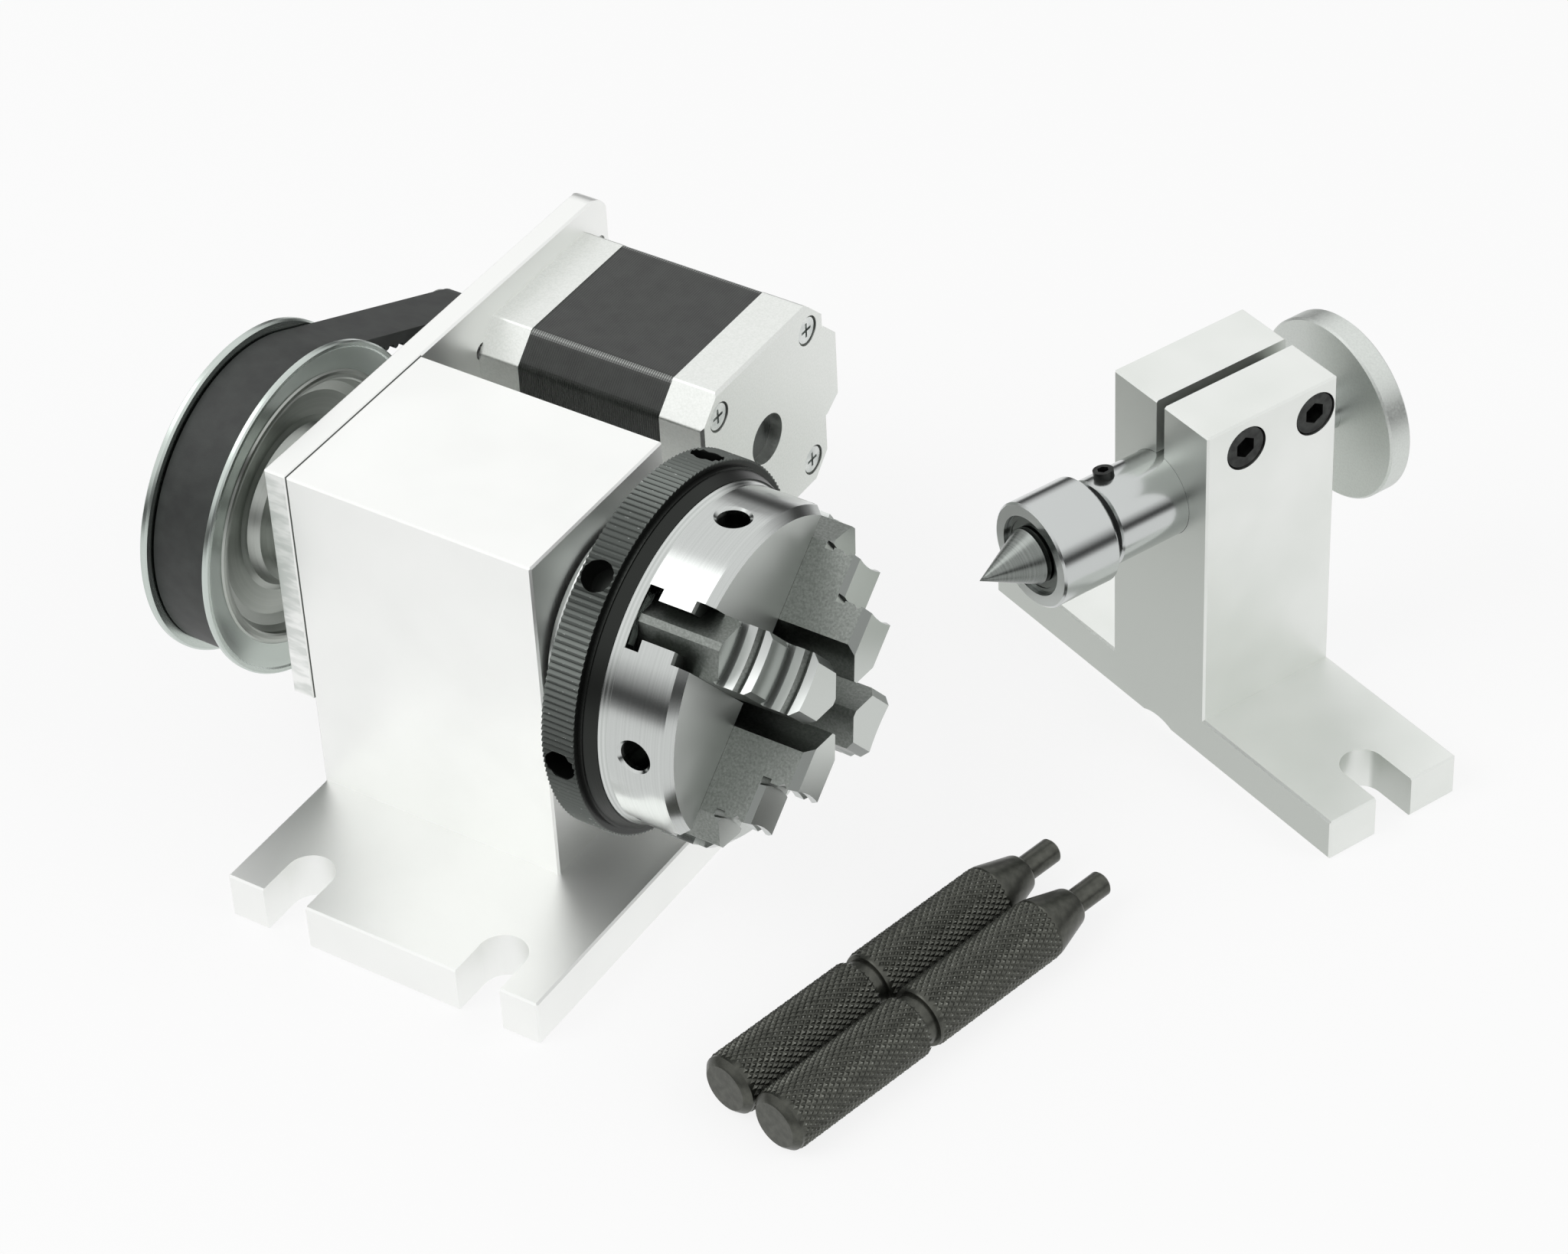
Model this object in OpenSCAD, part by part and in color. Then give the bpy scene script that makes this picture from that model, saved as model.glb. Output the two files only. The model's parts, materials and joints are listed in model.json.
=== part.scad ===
// Belt-driven rotary axis for a small milling table: headstock with a four-jaw lever chuck,
// a stepper motor beside it, a loose tailstock with a live centre, and two tommy bars.
// Millimetres. +Z up, floor at z = 0. The origin is the middle of the headstock base's underside.
// +X runs along the spindle from the belt pulley to the chuck, +Y points to the motor side.

/* [Headstock] */
// Height of the spindle axis above the floor
axis_h = 56.5; // [54:0.5:60]
// Length of the base along the spindle
base_l = 70; // [66:1:80]
// Width of the base across the spindle
base_w = 104; // [100:1:120]
// Thickness of the base
base_t = 10; // [8:0.5:12]
// Length of the upright block along the spindle
block_l = 54; // [50:1:56]
// Width of the upright block
block_w = 42.4; // [41.5:0.1:46]
// Height of the block's top above the floor
block_h = 83; // [80:0.5:90]
// Width of the open clamping slots in the base
slot_w = 9.8; // [8:0.2:11]
// Depth of the open clamping slots
slot_d = 13; // [10:0.5:16]
// Distance between the two slots on one edge
slot_pitch = 43.7; // [36:0.1:48]

/* [Drive plate] */
// Thickness of the plate that carries the motor
plate_t = 5; // [4:0.5:8]
// Height of the plate
plate_h = 53; // [50:0.5:56]
// Reach of the plate past the motor shaft
plate_reach = 23.5; // [22:0.5:30]
// Corner radius at the plate's motor end
plate_r = 6; // [3:0.5:8]
// Distance between the motor's front screws
motor_pitch = 31; // [31:0.1:31.2]

/* [Belt drive] */
// Pitch of the belt teeth
tooth_pitch = 3; // [3:0.1:3.2]
// Teeth on the spindle pulley
pulley_teeth = 60; // [56:1:62]
// Teeth on the motor pulley
pinion_teeth = 10; // [10:1:11]
// Teeth on the belt, which sets the distance between the shafts
belt_teeth = 78; // [77:1:82]
// Width of the belt
belt_w = 12; // [9:0.5:13]
// Gap between the drive plate and the near flange
flange_gap = 7.2; // [6:0.2:9]
// Thickness of the pulley's flange rings
flange_t = 1.5; // [1:0.1:2]
// How far the flange rings stand out past the teeth
flange_lip = 4.7; // [3.5:0.1:5]
// Radius where the flange rings end on the pulley's sides
ring_seat_r = 27.2; // [26.8:0.1:27.3]
// Width of the rounded ridge inside the flange rings
ridge_band = 2; // [1.6:0.1:2.4]
// Depth of the dish turned into the pulley's sides
dish_d = 2.6; // [2:0.2:4.6]
// Diameter of the pulley's hub
hub_d = 26; // [25:0.2:28]
// Thickness of the belt's back
belt_back = 2.5; // [1:0.05:2.6]
// Diameter of the nut that holds the pulley on the spindle
nut_d = 30; // [28:0.5:34]
// Thickness of that nut
nut_t = 5; // [4:0.5:6]

/* [Motor] */
// Width of the square motor
motor_w = 42.3; // [42:0.1:42.6]
// Corner chamfer of the motor
motor_ch = 5.5; // [4:0.1:6]
// Length of the front cap
cap_f = 9; // [8:0.5:11]
// Length of the laminated stack
stack_l = 32; // [24:1:34]
// Length of the rear cap
cap_r = 9.8; // [8:0.2:12]
// Diameter of the motor shaft
shaft_d = 5; // [4.8:0.05:5.2]
// Diameter of the raised ring that centres the motor
pilot_d = 22; // [20:0.5:23]
// Diameter of the hole in the rear cap
rear_hole = 10.4; // [10:0.2:13]
// Rounding of the edges beside the motor's corner chamfers
motor_round = 3; // [1:0.1:4]
// How far the motor can be moved each way along its slots to tighten the belt
tension = 4.6; // [3:0.1:4.8]

/* [Spindle] */
// Diameter of the spindle
spindle_d = 20; // [18:0.5:21]
// Diameter of the hole through the spindle
through_d = 10; // [8:0.5:12]
// Outside diameter of the spindle bearings
bearing_od = 37; // [35:0.5:38]
// Width of the spindle bearings
bearing_w = 9; // [8:0.5:10]
// Diameter of the bearing balls
ball_d = 5.2; // [4.6:0.1:5.4]
// Diameter of the spindle's front flange
nose_d = 40; // [40:1:46]
// Thickness of the spindle's front flange
nose_t = 3.4; // [3:0.2:4]

/* [Chuck] */
// Diameter of the chuck body
chuck_d = 65; // [63:0.5:68]
// Length of the chuck body in front of the scroll
chuck_l = 13; // [12:0.5:15]
// Chamfer round the front of the chuck body
chuck_ch = 1.5; // [1:0.1:2]
// Diameter of the hole through the chuck
chuck_bore = 15; // [13:0.5:16]
// Thickness of the plate between spindle and chuck
backplate_t = 5; // [4.5:0.5:6]
// Diameter of that plate
backplate_d = 50; // [48:0.5:52]
// How far the knurled ring stands out past the chuck body
ring_lip = 3.5; // [3:0.1:4.5]
// Length of the knurled band
knurl_l = 6.8; // [6:0.2:8]
// Length of the plain taper in front of the knurl
ring_taper = 3.1; // [2.6:0.1:4.5]
// Number of knurl ridges round the ring
knurl_n = 180; // [120:4:200]
// Depth of the knurl
knurl_d = 0.35; // [0.2:0.05:0.5]
// Number of tommy holes in the ring
ring_holes = 6; // [4:1:8]
// Diameter of the tommy holes
tommy_hole = 6; // [5.6:0.1:6.5]
// Depth of the tommy holes in the chuck body
tommy_depth = 7; // [5:0.5:8]
// Radial travel of the jaws for one turn of the scroll
scroll_pitch = 3; // [3:0.1:3.2]

/* [Jaws] */
// Width of a jaw
jaw_w = 12; // [11:0.2:12.6]
// Distance from the axis to the tip of a jaw at rest
jaw_open = 5; // [5:0.1:5.5]
// Distance from the outer end of a jaw to the rim of the chuck body
jaw_inset = 1.5; // [1:0.1:2.5]
// Distance from the outer end of a jaw to its first round riser
jaw_land = 6; // [5:0.1:7]
// Slope of the two flats that meet at the outer end
jaw_end_slope = 42; // [36:1:48]
// Width of the flat ridge between them
jaw_ridge = 1.5; // [1:0.1:2.5]
// Radius of the hollow risers
grip_r = 23; // [20:1:30]
// Height of the first step above the chuck face
jaw_h1 = 4; // [3:0.2:5]
// Rise from step to step
jaw_rise = 6; // [5:0.2:7]
// Length of one step
jaw_step = 8.3; // [8:0.1:9]
// How deep the guide ribs of the body reach into each side of a jaw
rib_d = 2.3; // [1.8:0.1:2.5]
// Thickness of the guide ribs
rib_t = 6.8; // [6:0.1:7]

/* [Tailstock] */
// Width of the tailstock along its axis
tail_l = 31; // [29:0.5:34]
// Width of the tailstock base across its axis
tail_base_w = 102; // [98:1:110]
// Thickness of the tailstock base
tail_base_t = 9.2; // [8:0.2:11]
// Width of the tailstock upright
tail_w = 27.5; // [27:0.5:32]
// Height of the tailstock upright
tail_h = 77; // [75:0.5:82]
// Width of the clamping slots in the tailstock base
tail_slot_w = 8.8; // [8:0.2:11]
// Depth of those slots
tail_slot_d = 13.3; // [10:0.1:16]
// Width of the split that lets the clamp close
split_w = 2.3; // [1.6:0.1:3]
// Diameter of the quill
quill_d = 17.2; // [16:0.1:18]
// Length of the quill
quill_l = 31.3; // [30:0.1:32]
// How far the quill stands out of the block
quill_out = 15.5; // [14:0.5:16]
// Diameter of the feed screw
feed_d = 8; // [7:0.5:8.5]
// Diameter of the handwheel
wheel_d = 37.3; // [34:0.1:42]
// Thickness of the handwheel
wheel_t = 5; // [4:0.5:7]
// Gap between the block and the handwheel
wheel_gap = 9.7; // [9.5:0.1:12]
// Head diameter of the two clamp screws
clamp_head = 8.5; // [8:0.1:8.6]
// Distance between the two clamp screws
clamp_pitch = 16.6; // [15.6:0.1:18]
// Depth of the clamp screws below the top
clamp_drop = 6.4; // [6.2:0.1:6.8]
// Shift of the clamp screws towards the handwheel
clamp_shift = 2; // [0:0.1:2.2]

/* [Live centre] */
// Diameter of the live centre's housing
head_d = 21.2; // [20:0.1:24]
// Length of the housing
head_l = 12.9; // [12.6:0.1:16]
// Length of the dark neck between housing and quill
neck_l = 2.2; // [1:0.1:2.6]
// Outside diameter of the live centre's bearing
live_od = 16; // [15.6:0.1:16.4]
// Diameter of the cone where it leaves the bearing
cone_d = 11.2; // [10.6:0.1:11.6]
// Length of the cone
cone_l = 11.4; // [9:0.1:12]

/* [Tommy bars] */
// Diameter of a bar's grip
bar_d = 12.4; // [12:0.1:12.8]
// Length of a bar
bar_l = 85.5; // [80:0.5:95]
// Diameter of the pin at the bar's end
bar_pin_d = 5; // [4.6:0.1:5.2]
// Length of that pin
bar_pin_l = 8.5; // [7:0.5:10]
// Length of the plain taper behind the pin
bar_taper = 8.5; // [7:0.5:10]
// Distance from the butt to the groove
bar_groove = 33.8; // [30:0.2:38]

/* [Layout] */
// Place of the tailstock along the spindle direction
tail_x = 94.5; // [90:0.5:110]
// Place of the tailstock across the spindle direction
tail_y = 96.2; // [95:0.2:115]
// Turn of the tailstock on the floor
tail_turn = 67.9; // [60:0.1:75]
// Place of the first bar's butt along the spindle direction
bar_x = 73.7; // [72:0.1:80]
// Place of the first bar's butt across the spindle direction
bar_y = -49.7; // [-60:0.1:-48]
// Direction in which the bars point
bar_turn = 77.1; // [70:0.1:80]

/* [Screws and edges] */
// Diameter of the screws between plate and block
plate_screw_d = 4.9; // [4:0.1:5.2]
// Diameter of the screws that hold the motor
motor_screw_d = 2.96; // [2.6:0.02:3]
// Diameter of the screws between back plate and chuck body
chuck_screw_d = 3; // [2.6:0.1:3.2]
// Diameter of the screws between spindle and back plate
nose_screw_d = 4; // [3.6:0.1:4.2]
// Chamfer on the edges of the milled blocks
edge_ch = 0.4; // [0.3:0.05:0.6]

/* [Fits] */
// Gap all round between a shaft and its bore, and between sliding faces
fit_gap = 0.05; // [0.03:0.01:0.08]
// Gap all round where a screw passes through
screw_gap = 0.3; // [0.2:0.05:0.4]
// Gap between parts that turn past each other
run_gap = 0.3; // [0.25:0.05:0.4]

/* [Hidden] */
$fn = 64;
eps = 0.01;

// Places along the spindle, measured from the face where plate and block meet
x_seam = -base_l / 2;
x_block_end = x_seam + block_l;
x_plate = x_seam - plate_t;
x_flange = x_plate - flange_gap;
x_teeth = x_flange - flange_t;
teeth_w = belt_w + 0.7;
x_teeth_end = x_teeth - teeth_w;

// Belt geometry: pitch radii, shaft distance from the belt's length, and the tangent angle
pulley_pr = pulley_teeth * tooth_pitch / (2 * PI);
pinion_pr = pinion_teeth * tooth_pitch / (2 * PI);
pitch_line = 0.38;
pulley_r = pulley_pr - pitch_line;
pinion_r = pinion_pr - pitch_line;
belt_b = belt_teeth * tooth_pitch - PI * (pulley_pr + pinion_pr);
shaft_gap = (belt_b + sqrt(belt_b * belt_b - 8 * pow(pulley_pr - pinion_pr, 2))) / 4;
belt_lift = 0.2;
tangent = asin((pulley_r - pinion_r) / shaft_gap);
tooth_r = 0.78;
flange_r = pulley_r + flange_lip;

// Depth of the screw seats in the drive plate
plate_seat = plate_t * 0.6;
mount_seat = plate_t * 0.64;

// Motor places
motor_y = shaft_gap;
x_stack = x_seam + cap_f;
x_cap_r = x_stack + stack_l;
x_motor_end = x_cap_r + cap_r;
rotor_d = 25;
shaft_flat = 0.5;
motor_bearing_d = 16;
motor_bearing_w = 5;
motor_screw_inset = (motor_w - motor_pitch) / 2;

// Spindle bearings: seats, balls and races
bearing_r = bearing_od / 2;
ball_r = ball_d / 2;
ball_ring_r = (bearing_r + spindle_d / 2) / 2;
race_w = 2.9;
race_gap = (bearing_r - spindle_d / 2 - 2 * race_w) / 2;
x_bear_rear = x_seam + 0.2;
circlip_t = 1.2;
x_nose = x_block_end + 0.8;
x_bear_front = x_block_end - circlip_t - 1.4 - bearing_w;
ball_n = 11;

// Chuck places
x_backplate = x_nose + nose_t;
x_ring = x_backplate + backplate_t + 1.1;
x_ring_end = x_ring + knurl_l + ring_taper;
hub_r = 14;
bevel_t = 1.7;
x_scroll_front = x_ring_end + bevel_t;
x_chuck = x_scroll_front + 0.1;
x_face = x_chuck + chuck_l;
x_scroll_back = x_ring + 1.6;
scroll_depth = 2.5;
x_scroll_floor = x_scroll_front - scroll_depth;
x_collar = x_scroll_floor - 0.8;
scroll_r = chuck_d / 2 - 2.5;
ring_r = chuck_d / 2 + ring_lip;
collar_r = chuck_d / 2 - 0.5;
scroll_rim = 1.2;
ridge_w = 1.1;
jaw_tooth_w = 0.85;
hub_end = x_backplate + backplate_t;
jaw_angles = [130, 220, 310, 40];
jaw_travel_in = 4;
jaw_travel_out = 4;

// Jaw levels: rear face, rib band, and the fronts of the three steps
x_jaw = x_chuck + fit_gap + 0.1;
x_rib = x_chuck + 3;
x_rib_end = x_rib + rib_t;
jaw_end = chuck_d / 2 - jaw_inset;
jaw_l = jaw_end - jaw_open;
blade_w = 1.2;
tooth_in = hub_r + fit_gap + jaw_travel_in + ridge_w / 2 + 0.3;
tooth_out = chuck_d / 2 - scroll_rim - jaw_travel_out - ridge_w / 2 - 0.2;

// Tailstock places, in its own frame: its tip points to -X and its base lies across
x_tail_face = -tail_l / 2;
x_quill = x_tail_face - quill_out;
x_head_back = x_quill - neck_l;
x_head = x_head_back - head_l;
tail_wall = 3;
quill_bore_end = tail_l / 2 - tail_wall;
x_wheel = tail_l / 2 + wheel_gap;
live_w = 5;
live_bore = 8;
shank_r = 6;
shank_l = 13;
cap_head_h = 5;
clamp_z = tail_h - clamp_drop;

module at_tail() {
    translate([tail_x, tail_y, 0]) rotate([0, 0, tail_turn]) children();
}

// A solid of revolution about the X axis: profile points are [x, radius]
module spin_x(points, z = 0) {
    translate([0, 0, z]) rotate([0, 90, 0]) rotate_extrude($fn = 96)
        polygon([for (p = points) [p[1], p[0]]]);
}

// A rod along X from x0 to x1
module rod_x(x0, x1, r, fn = 64) {
    translate([x0, 0, 0]) rotate([0, 90, 0]) cylinder(h = x1 - x0, r = r, $fn = fn);
}

// A tube along X
module tube_x(x0, x1, r_out, r_in) {
    difference() {
        rod_x(x0, x1, r_out);
        rod_x(x0 - 1, x1 + 1, r_in);
    }
}

// Lifts a shape drawn about the X axis to the spindle's height
module at_spindle() {
    translate([0, 0, axis_h]) children();
}

module at_motor() {
    translate([0, motor_y, axis_h]) children();
}

// A box from one corner, its edges chamfered by c
module soft_box(at, size, c) {
    translate(at) intersection() {
        linear_extrude(size[2]) cut_square(size[0], size[1], c);
        translate([0, size[1], 0]) rotate([90, 0, 0]) linear_extrude(size[1]) cut_square(size[0], size[2], c);
        rotate([90, 0, 90]) linear_extrude(size[0]) cut_square(size[1], size[2], c);
    }
}

// A rectangle with cut corners
module cut_square(a, b, c) {
    polygon([[c, 0], [a - c, 0], [a, c], [a, b - c], [a - c, b], [c, b], [0, b - c], [0, c]]);
}

// A rod along X drawn out sideways by d each way, as a slot
module slot_x(x0, x1, r, d, fn = 32) {
    for (y = [-d, d]) translate([0, y, 0]) rod_x(x0, x1, r, fn);
    translate([x0, -d, -r]) cube([x1 - x0, 2 * d, 2 * r]);
}

// Socket-head screw along +X from its seat: head behind the seat, shank in front
module socket_screw(d, head_d, head_h, length, key) {
    difference() {
        union() {
            rod_x(-head_h, 0, head_d / 2);
            rod_x(-eps, length, d / 2, 32);
        }
        translate([-head_h - 1, 0, 0]) rotate([0, 90, 0]) cylinder(h = 1 + head_h * 0.55, d = key * 1.155, $fn = 6);
    }
}

// Open-ended slot in a base plate, cut from the edge y = edge towards the middle
module edge_slot(x, edge, w, d, t, side) {
    translate([x, edge - side * (d - w / 2), -1]) {
        cylinder(h = t + 2, d = w);
        translate([-w / 2, side > 0 ? 0 : -d, 0]) cube([w, d, t + 2]);
    }
}

// Headstock block

module headstock_block() {
    color("gainsboro") difference() {
        union() {
            soft_box([x_seam, -base_w / 2, 0], [base_l, base_w, base_t], edge_ch);
            soft_box([x_seam, -block_w / 2, 0], [block_l, block_w, block_h], edge_ch);
        }
        for (x = [-slot_pitch / 2, slot_pitch / 2]) for (side = [-1, 1])
            edge_slot(x, side * base_w / 2, slot_w, slot_d, base_t, side);
        at_spindle() {
            rod_x(x_seam - 1, x_block_end + 1, spindle_d / 2 + 5.5, 96);
            rod_x(x_seam - 1, x_bear_rear + bearing_w, bearing_r + fit_gap, 96);
            rod_x(x_bear_front, x_block_end + 1, bearing_r + fit_gap, 96);
            rod_x(x_bear_front + bearing_w, x_bear_front + bearing_w + circlip_t, bearing_r + 1, 96);
        }
        plate_screw_places() rod_x(-1, 12, plate_screw_d / 2 + fit_gap, 32);
    }
}

// The four places of the screws that hold the plate to the block
module plate_screw_places() {
    edge = 5;
    for (y = [-block_w / 2 + edge, block_w / 2 - edge])
        for (z = [block_h - edge, block_h - plate_h + edge])
            translate([x_seam, y, z]) children();
}

// Drive plate

module drive_plate() {
    y0 = -block_w / 2;
    y1 = motor_y + plate_reach;
    z0 = block_h - plate_h;
    color("gainsboro") difference() {
        intersection() {
            soft_box([x_plate, y0, z0], [plate_t, y1 - y0, plate_h], edge_ch);
            translate([x_plate, 0, 0]) rotate([90, 0, 90]) linear_extrude(plate_t) union() {
                translate([y0, z0]) square([y1 - y0 - plate_r, plate_h]);
                translate([y0, z0 + plate_r]) square([y1 - y0, plate_h - 2 * plate_r]);
                for (z = [z0 + plate_r, block_h - plate_r]) translate([y1 - plate_r, z]) circle(plate_r);
            }
        }
        at_spindle() rod_x(x_plate - 1, x_seam + 1, spindle_d / 2 + 3, 96);
        at_motor() {
            slot_x(x_plate - 1, x_seam + 1, pilot_d / 2 + fit_gap, tension, 96);
            motor_corners(motor_pitch) slot_x(x_plate - 1, x_seam + 1, motor_screw_d / 2 + screw_gap, tension);
            motor_corners(motor_pitch) slot_x(x_plate - 1, x_plate + mount_seat, motor_screw_d + 0.15, tension);
        }
        plate_screw_places() {
            rod_x(-plate_t - 1, 1, plate_screw_d / 2 + screw_gap, 32);
            rod_x(-plate_t - 1, -plate_t + plate_seat, plate_screw_d * 0.88 + screw_gap, 32);
        }
    }
}

module plate_screws() {
    color("dimgray") plate_screw_places()
        translate([-plate_t + plate_seat, 0, 0]) socket_screw(plate_screw_d, plate_screw_d * 1.76,
            plate_seat - 0.2, plate_screw_d * 2.2, plate_screw_d * 0.62);
}

// Spindle bearings

// A race: a ring with a ball groove cut round it
module race(x, r_out, r_in, w, groove_r, groove_at) {
    translate([x, 0, 0]) rotate([0, 90, 0]) rotate_extrude($fn = 96) difference() {
        translate([r_in, 0]) square([r_out - r_in, w]);
        translate([groove_at, w / 2]) circle(groove_r + fit_gap, $fn = 40);
    }
}

module bearing_outer_races() {
    color("silver") at_spindle() for (x = [x_bear_rear, x_bear_front])
        race(x, bearing_r, bearing_r - race_w, bearing_w, ball_r, ball_ring_r);
}

module bearing_inner_races() {
    r = spindle_d / 2 + fit_gap;
    color("silver") at_spindle() for (x = [x_bear_rear, x_bear_front])
        race(x, spindle_d / 2 + race_w, r, bearing_w, ball_r, ball_ring_r);
}

module bearing_balls() {
    color("lightgray") at_spindle() for (x = [x_bear_rear, x_bear_front]) for (i = [0 : ball_n - 1])
        rotate([i * 360 / ball_n, 0, 0]) translate([x + bearing_w / 2, 0, ball_ring_r]) sphere(ball_r, $fn = 32);
}

module bearing_spacer() {
    color("darkgray") at_spindle()
        tube_x(x_bear_rear + bearing_w, x_bear_front, spindle_d / 2 + 2.6, spindle_d / 2 + fit_gap);
}

// A spring ring in the groove in front of the front bearing, open at the bottom
module bearing_circlip() {
    x = x_bear_front + bearing_w;
    color("dimgray") at_spindle() difference() {
        tube_x(x + 0.05, x + circlip_t - 0.05, bearing_r + 0.8, bearing_r - 1.8);
        translate([x - 1, -3, -bearing_r - 2]) cube([circlip_t + 2, 6, 6]);
    }
}

// Spindle and what is clamped on it

module spindle() {
    r = spindle_d / 2;
    shoulder = x_bear_front + bearing_w;
    x_end = x_teeth_end - nut_t - 1.6;
    color("silver") at_spindle() difference() {
        spin_x([
            [x_end, through_d / 2], [x_end, r - 1], [x_end + 1, r],
            [shoulder, r], [shoulder, r + 3], [x_nose, r + 3], [x_nose, nose_d / 2],
            [x_backplate, nose_d / 2], [x_backplate, through_d / 2]
        ]);
        nose_screws() rod_x(-1, 12, nose_screw_d / 2 + screw_gap, 32);
    }
}

module nose_screws() {
    for (a = [0, 90, 180, 270]) rotate([a, 0, 0]) translate([x_nose, 0, nose_d / 2 - 4.2]) children();
}

// Screws from behind the spindle's flange into the back plate
module backplate_screws() {
    color("dimgray") at_spindle() nose_screws() rod_x(0, nose_t + backplate_t - 0.6, nose_screw_d / 2, 32);
}

module chuck_backplate() {
    color("darkgray") at_spindle() difference() {
        rod_x(x_backplate, x_backplate + backplate_t, backplate_d / 2);
        rod_x(x_backplate - 1, x_backplate + backplate_t + 1, through_d / 2);
        nose_screws() rod_x(0, nose_t + backplate_t - 0.5, nose_screw_d / 2, 32);
        chuck_screw_places() rod_x(-1, backplate_t + 1, chuck_screw_d / 2 + screw_gap, 32);
    }
}

module chuck_screw_places() {
    for (a = [45, 135, 225, 315]) rotate([a, 0, 0]) translate([x_backplate, 0, hub_r - 3.2]) children();
}

module chuck_screws() {
    color("dimgray") at_spindle() chuck_screw_places() rod_x(0.05, backplate_t + 8, chuck_screw_d / 2, 32);
}

module spindle_nut() {
    x1 = x_teeth_end;
    color("dimgray") at_spindle() difference() {
        rod_x(x1 - nut_t, x1, nut_d / 2);
        rod_x(x1 - nut_t - 1, x1 + 1, spindle_d / 2 + fit_gap);
        for (a = [0, 90, 180, 270]) rotate([a, 0, 0]) translate([x1 - nut_t - 1, -2, nut_d / 2 - 2])
            cube([nut_t + 2, 4, 4]);
    }
}

// Pulleys

// A toothed rim: round bottomed grooves cut along a cylinder
module toothed_rim(x0, x1, r, n, groove) {
    difference() {
        rod_x(x0, x1, r, 96);
        for (i = [0 : n - 1]) rotate([i * 360 / n, 0, 0]) translate([x0 - 1, 0, r]) rotate([0, 90, 0])
            cylinder(h = x1 - x0 + 2, r = groove, $fn = 24);
    }
}

module drive_pulley() {
    hub = hub_d / 2;
    neck = spindle_d / 2 + 1.8;
    color("silver") at_spindle() difference() {
        union() {
            toothed_rim(x_teeth_end, x_teeth, pulley_r, pulley_teeth, tooth_r + 0.12);
            pulley_ridge(x_teeth, 1);
            pulley_ridge(x_teeth_end, -1);
            rod_x(x_teeth - dish_d - 1, x_plate - 1.2, hub);
            rod_x(x_plate - 1.3, x_bear_rear, neck);
        }
        pulley_dish(x_teeth, 1);
        pulley_dish(x_teeth_end, -1);
        rod_x(x_teeth_end - 1, x_seam + 1, spindle_d / 2 + fit_gap);
    }
}

// The rounded ridge that stands out of a pulley side just inside its flange ring
module pulley_ridge(x, dir) {
    r0 = ring_seat_r - ridge_band;
    r1 = ring_seat_r - 0.02;
    h = ridge_band * 0.4;
    spin_x([
        [x - dir, r0], [x + dir * h * 0.5, r0], [x + dir * h * 0.87, r0 + ridge_band * 0.2],
        [x + dir * h, r0 + ridge_band * 0.5], [x + dir * h * 0.87, r0 + ridge_band * 0.8],
        [x + dir * h * 0.5, r1], [x - dir, r1]
    ]);
}

// The shallow dish between hub and ridge
module pulley_dish(x, dir) {
    r0 = hub_d / 2 + 2;
    r1 = ring_seat_r - ridge_band;
    spin_x([
        [x + dir, r0], [x, r0], [x - dir * dish_d * 0.8, r0 + 1.2], [x - dir * dish_d, r0 + 2.4],
        [x - dir * dish_d, r1 - 3], [x - dir * dish_d * 0.7, r1 - 1], [x - dir * dish_d * 0.2, r1 - 0.1],
        [x, r1], [x + dir, r1]
    ]);
}

// A flange ring: a raised narrow rim and a shallow cone that falls towards the ridge
module pulley_flange(x, dir) {
    color("slategray") at_spindle() spin_x([
        [x, ring_seat_r], [x, flange_r - 0.4], [x + dir * 0.4, flange_r], [x + dir * (flange_t - 0.3), flange_r],
        [x + dir * flange_t, flange_r - 0.3], [x + dir * flange_t, flange_r - 1],
        [x + dir * (flange_t - 0.3), flange_r - 1.3], [x + dir * 0.4, ring_seat_r]
    ]);
}

module pulley_flange_near() {
    pulley_flange(x_teeth, 1);
}

module pulley_flange_far() {
    pulley_flange(x_teeth_end, -1);
}

module motor_pulley() {
    x_hub = x_plate - 1;
    color("silver") at_motor() difference() {
        union() {
            toothed_rim(x_teeth_end, x_teeth, pinion_r, pinion_teeth, tooth_r);
            rod_x(x_teeth_end - 1, x_teeth_end, pinion_r + 2.2);
            rod_x(x_teeth, x_teeth + 1, pinion_r + 2.2);
            rod_x(x_teeth + 1, x_hub, 6.5);
        }
        rod_x(x_teeth_end - 2, x_hub + 1, shaft_d / 2 + 0.02, 48);
        pulley_set_place() cylinder(h = 8, r = 1.5, $fn = 32);
    }
}

module pulley_set_place() {
    translate([(x_teeth + x_plate) / 2, 0, 0]) children();
}

module motor_pulley_screw() {
    color("dimgray") at_motor() pulley_set_place() difference() {
        translate([0, 0, shaft_d / 2 - shaft_flat]) cylinder(h = 4.1, r = 1.48, $fn = 32);
        translate([0, 0, shaft_d / 2 + 2]) cylinder(h = 3, d = 1.7, $fn = 6);
    }
}

// The belt's outline: two arcs and the two straight spans between them.
// The spans start a hair inside the arcs, so that each span crosses its arc.
module belt_outline(grow) {
    r1 = pulley_r + belt_lift + grow;
    r2 = pinion_r + belt_lift + grow;
    big = (r1 - eps) * [sin(tangent), cos(tangent)];
    small = [shaft_gap, 0] + (r2 - eps) * [sin(tangent), cos(tangent)];
    circle(r1, $fn = 120);
    translate([shaft_gap, 0]) circle(r2, $fn = 48);
    polygon([big, small, [small[0], -small[1]], [big[0], -big[1]]]);
}

module timing_belt() {
    x0 = x_teeth_end + (teeth_w - belt_w) / 2;
    inner = pulley_r + belt_lift;
    span = sqrt(pow(shaft_gap, 2) - pow(pulley_r - pinion_r, 2));
    first = 10;
    last = span - 5;
    color("dimgray") translate([x0, 0, axis_h]) rotate([90, 0, 90]) {
        linear_extrude(belt_w) difference() {
            belt_outline(belt_back);
            belt_outline(0);
        }
        for (side = [-1, 1]) for (s = [first : tooth_pitch : last])
            belt_tooth(inner, s, side);
    }
}

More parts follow.
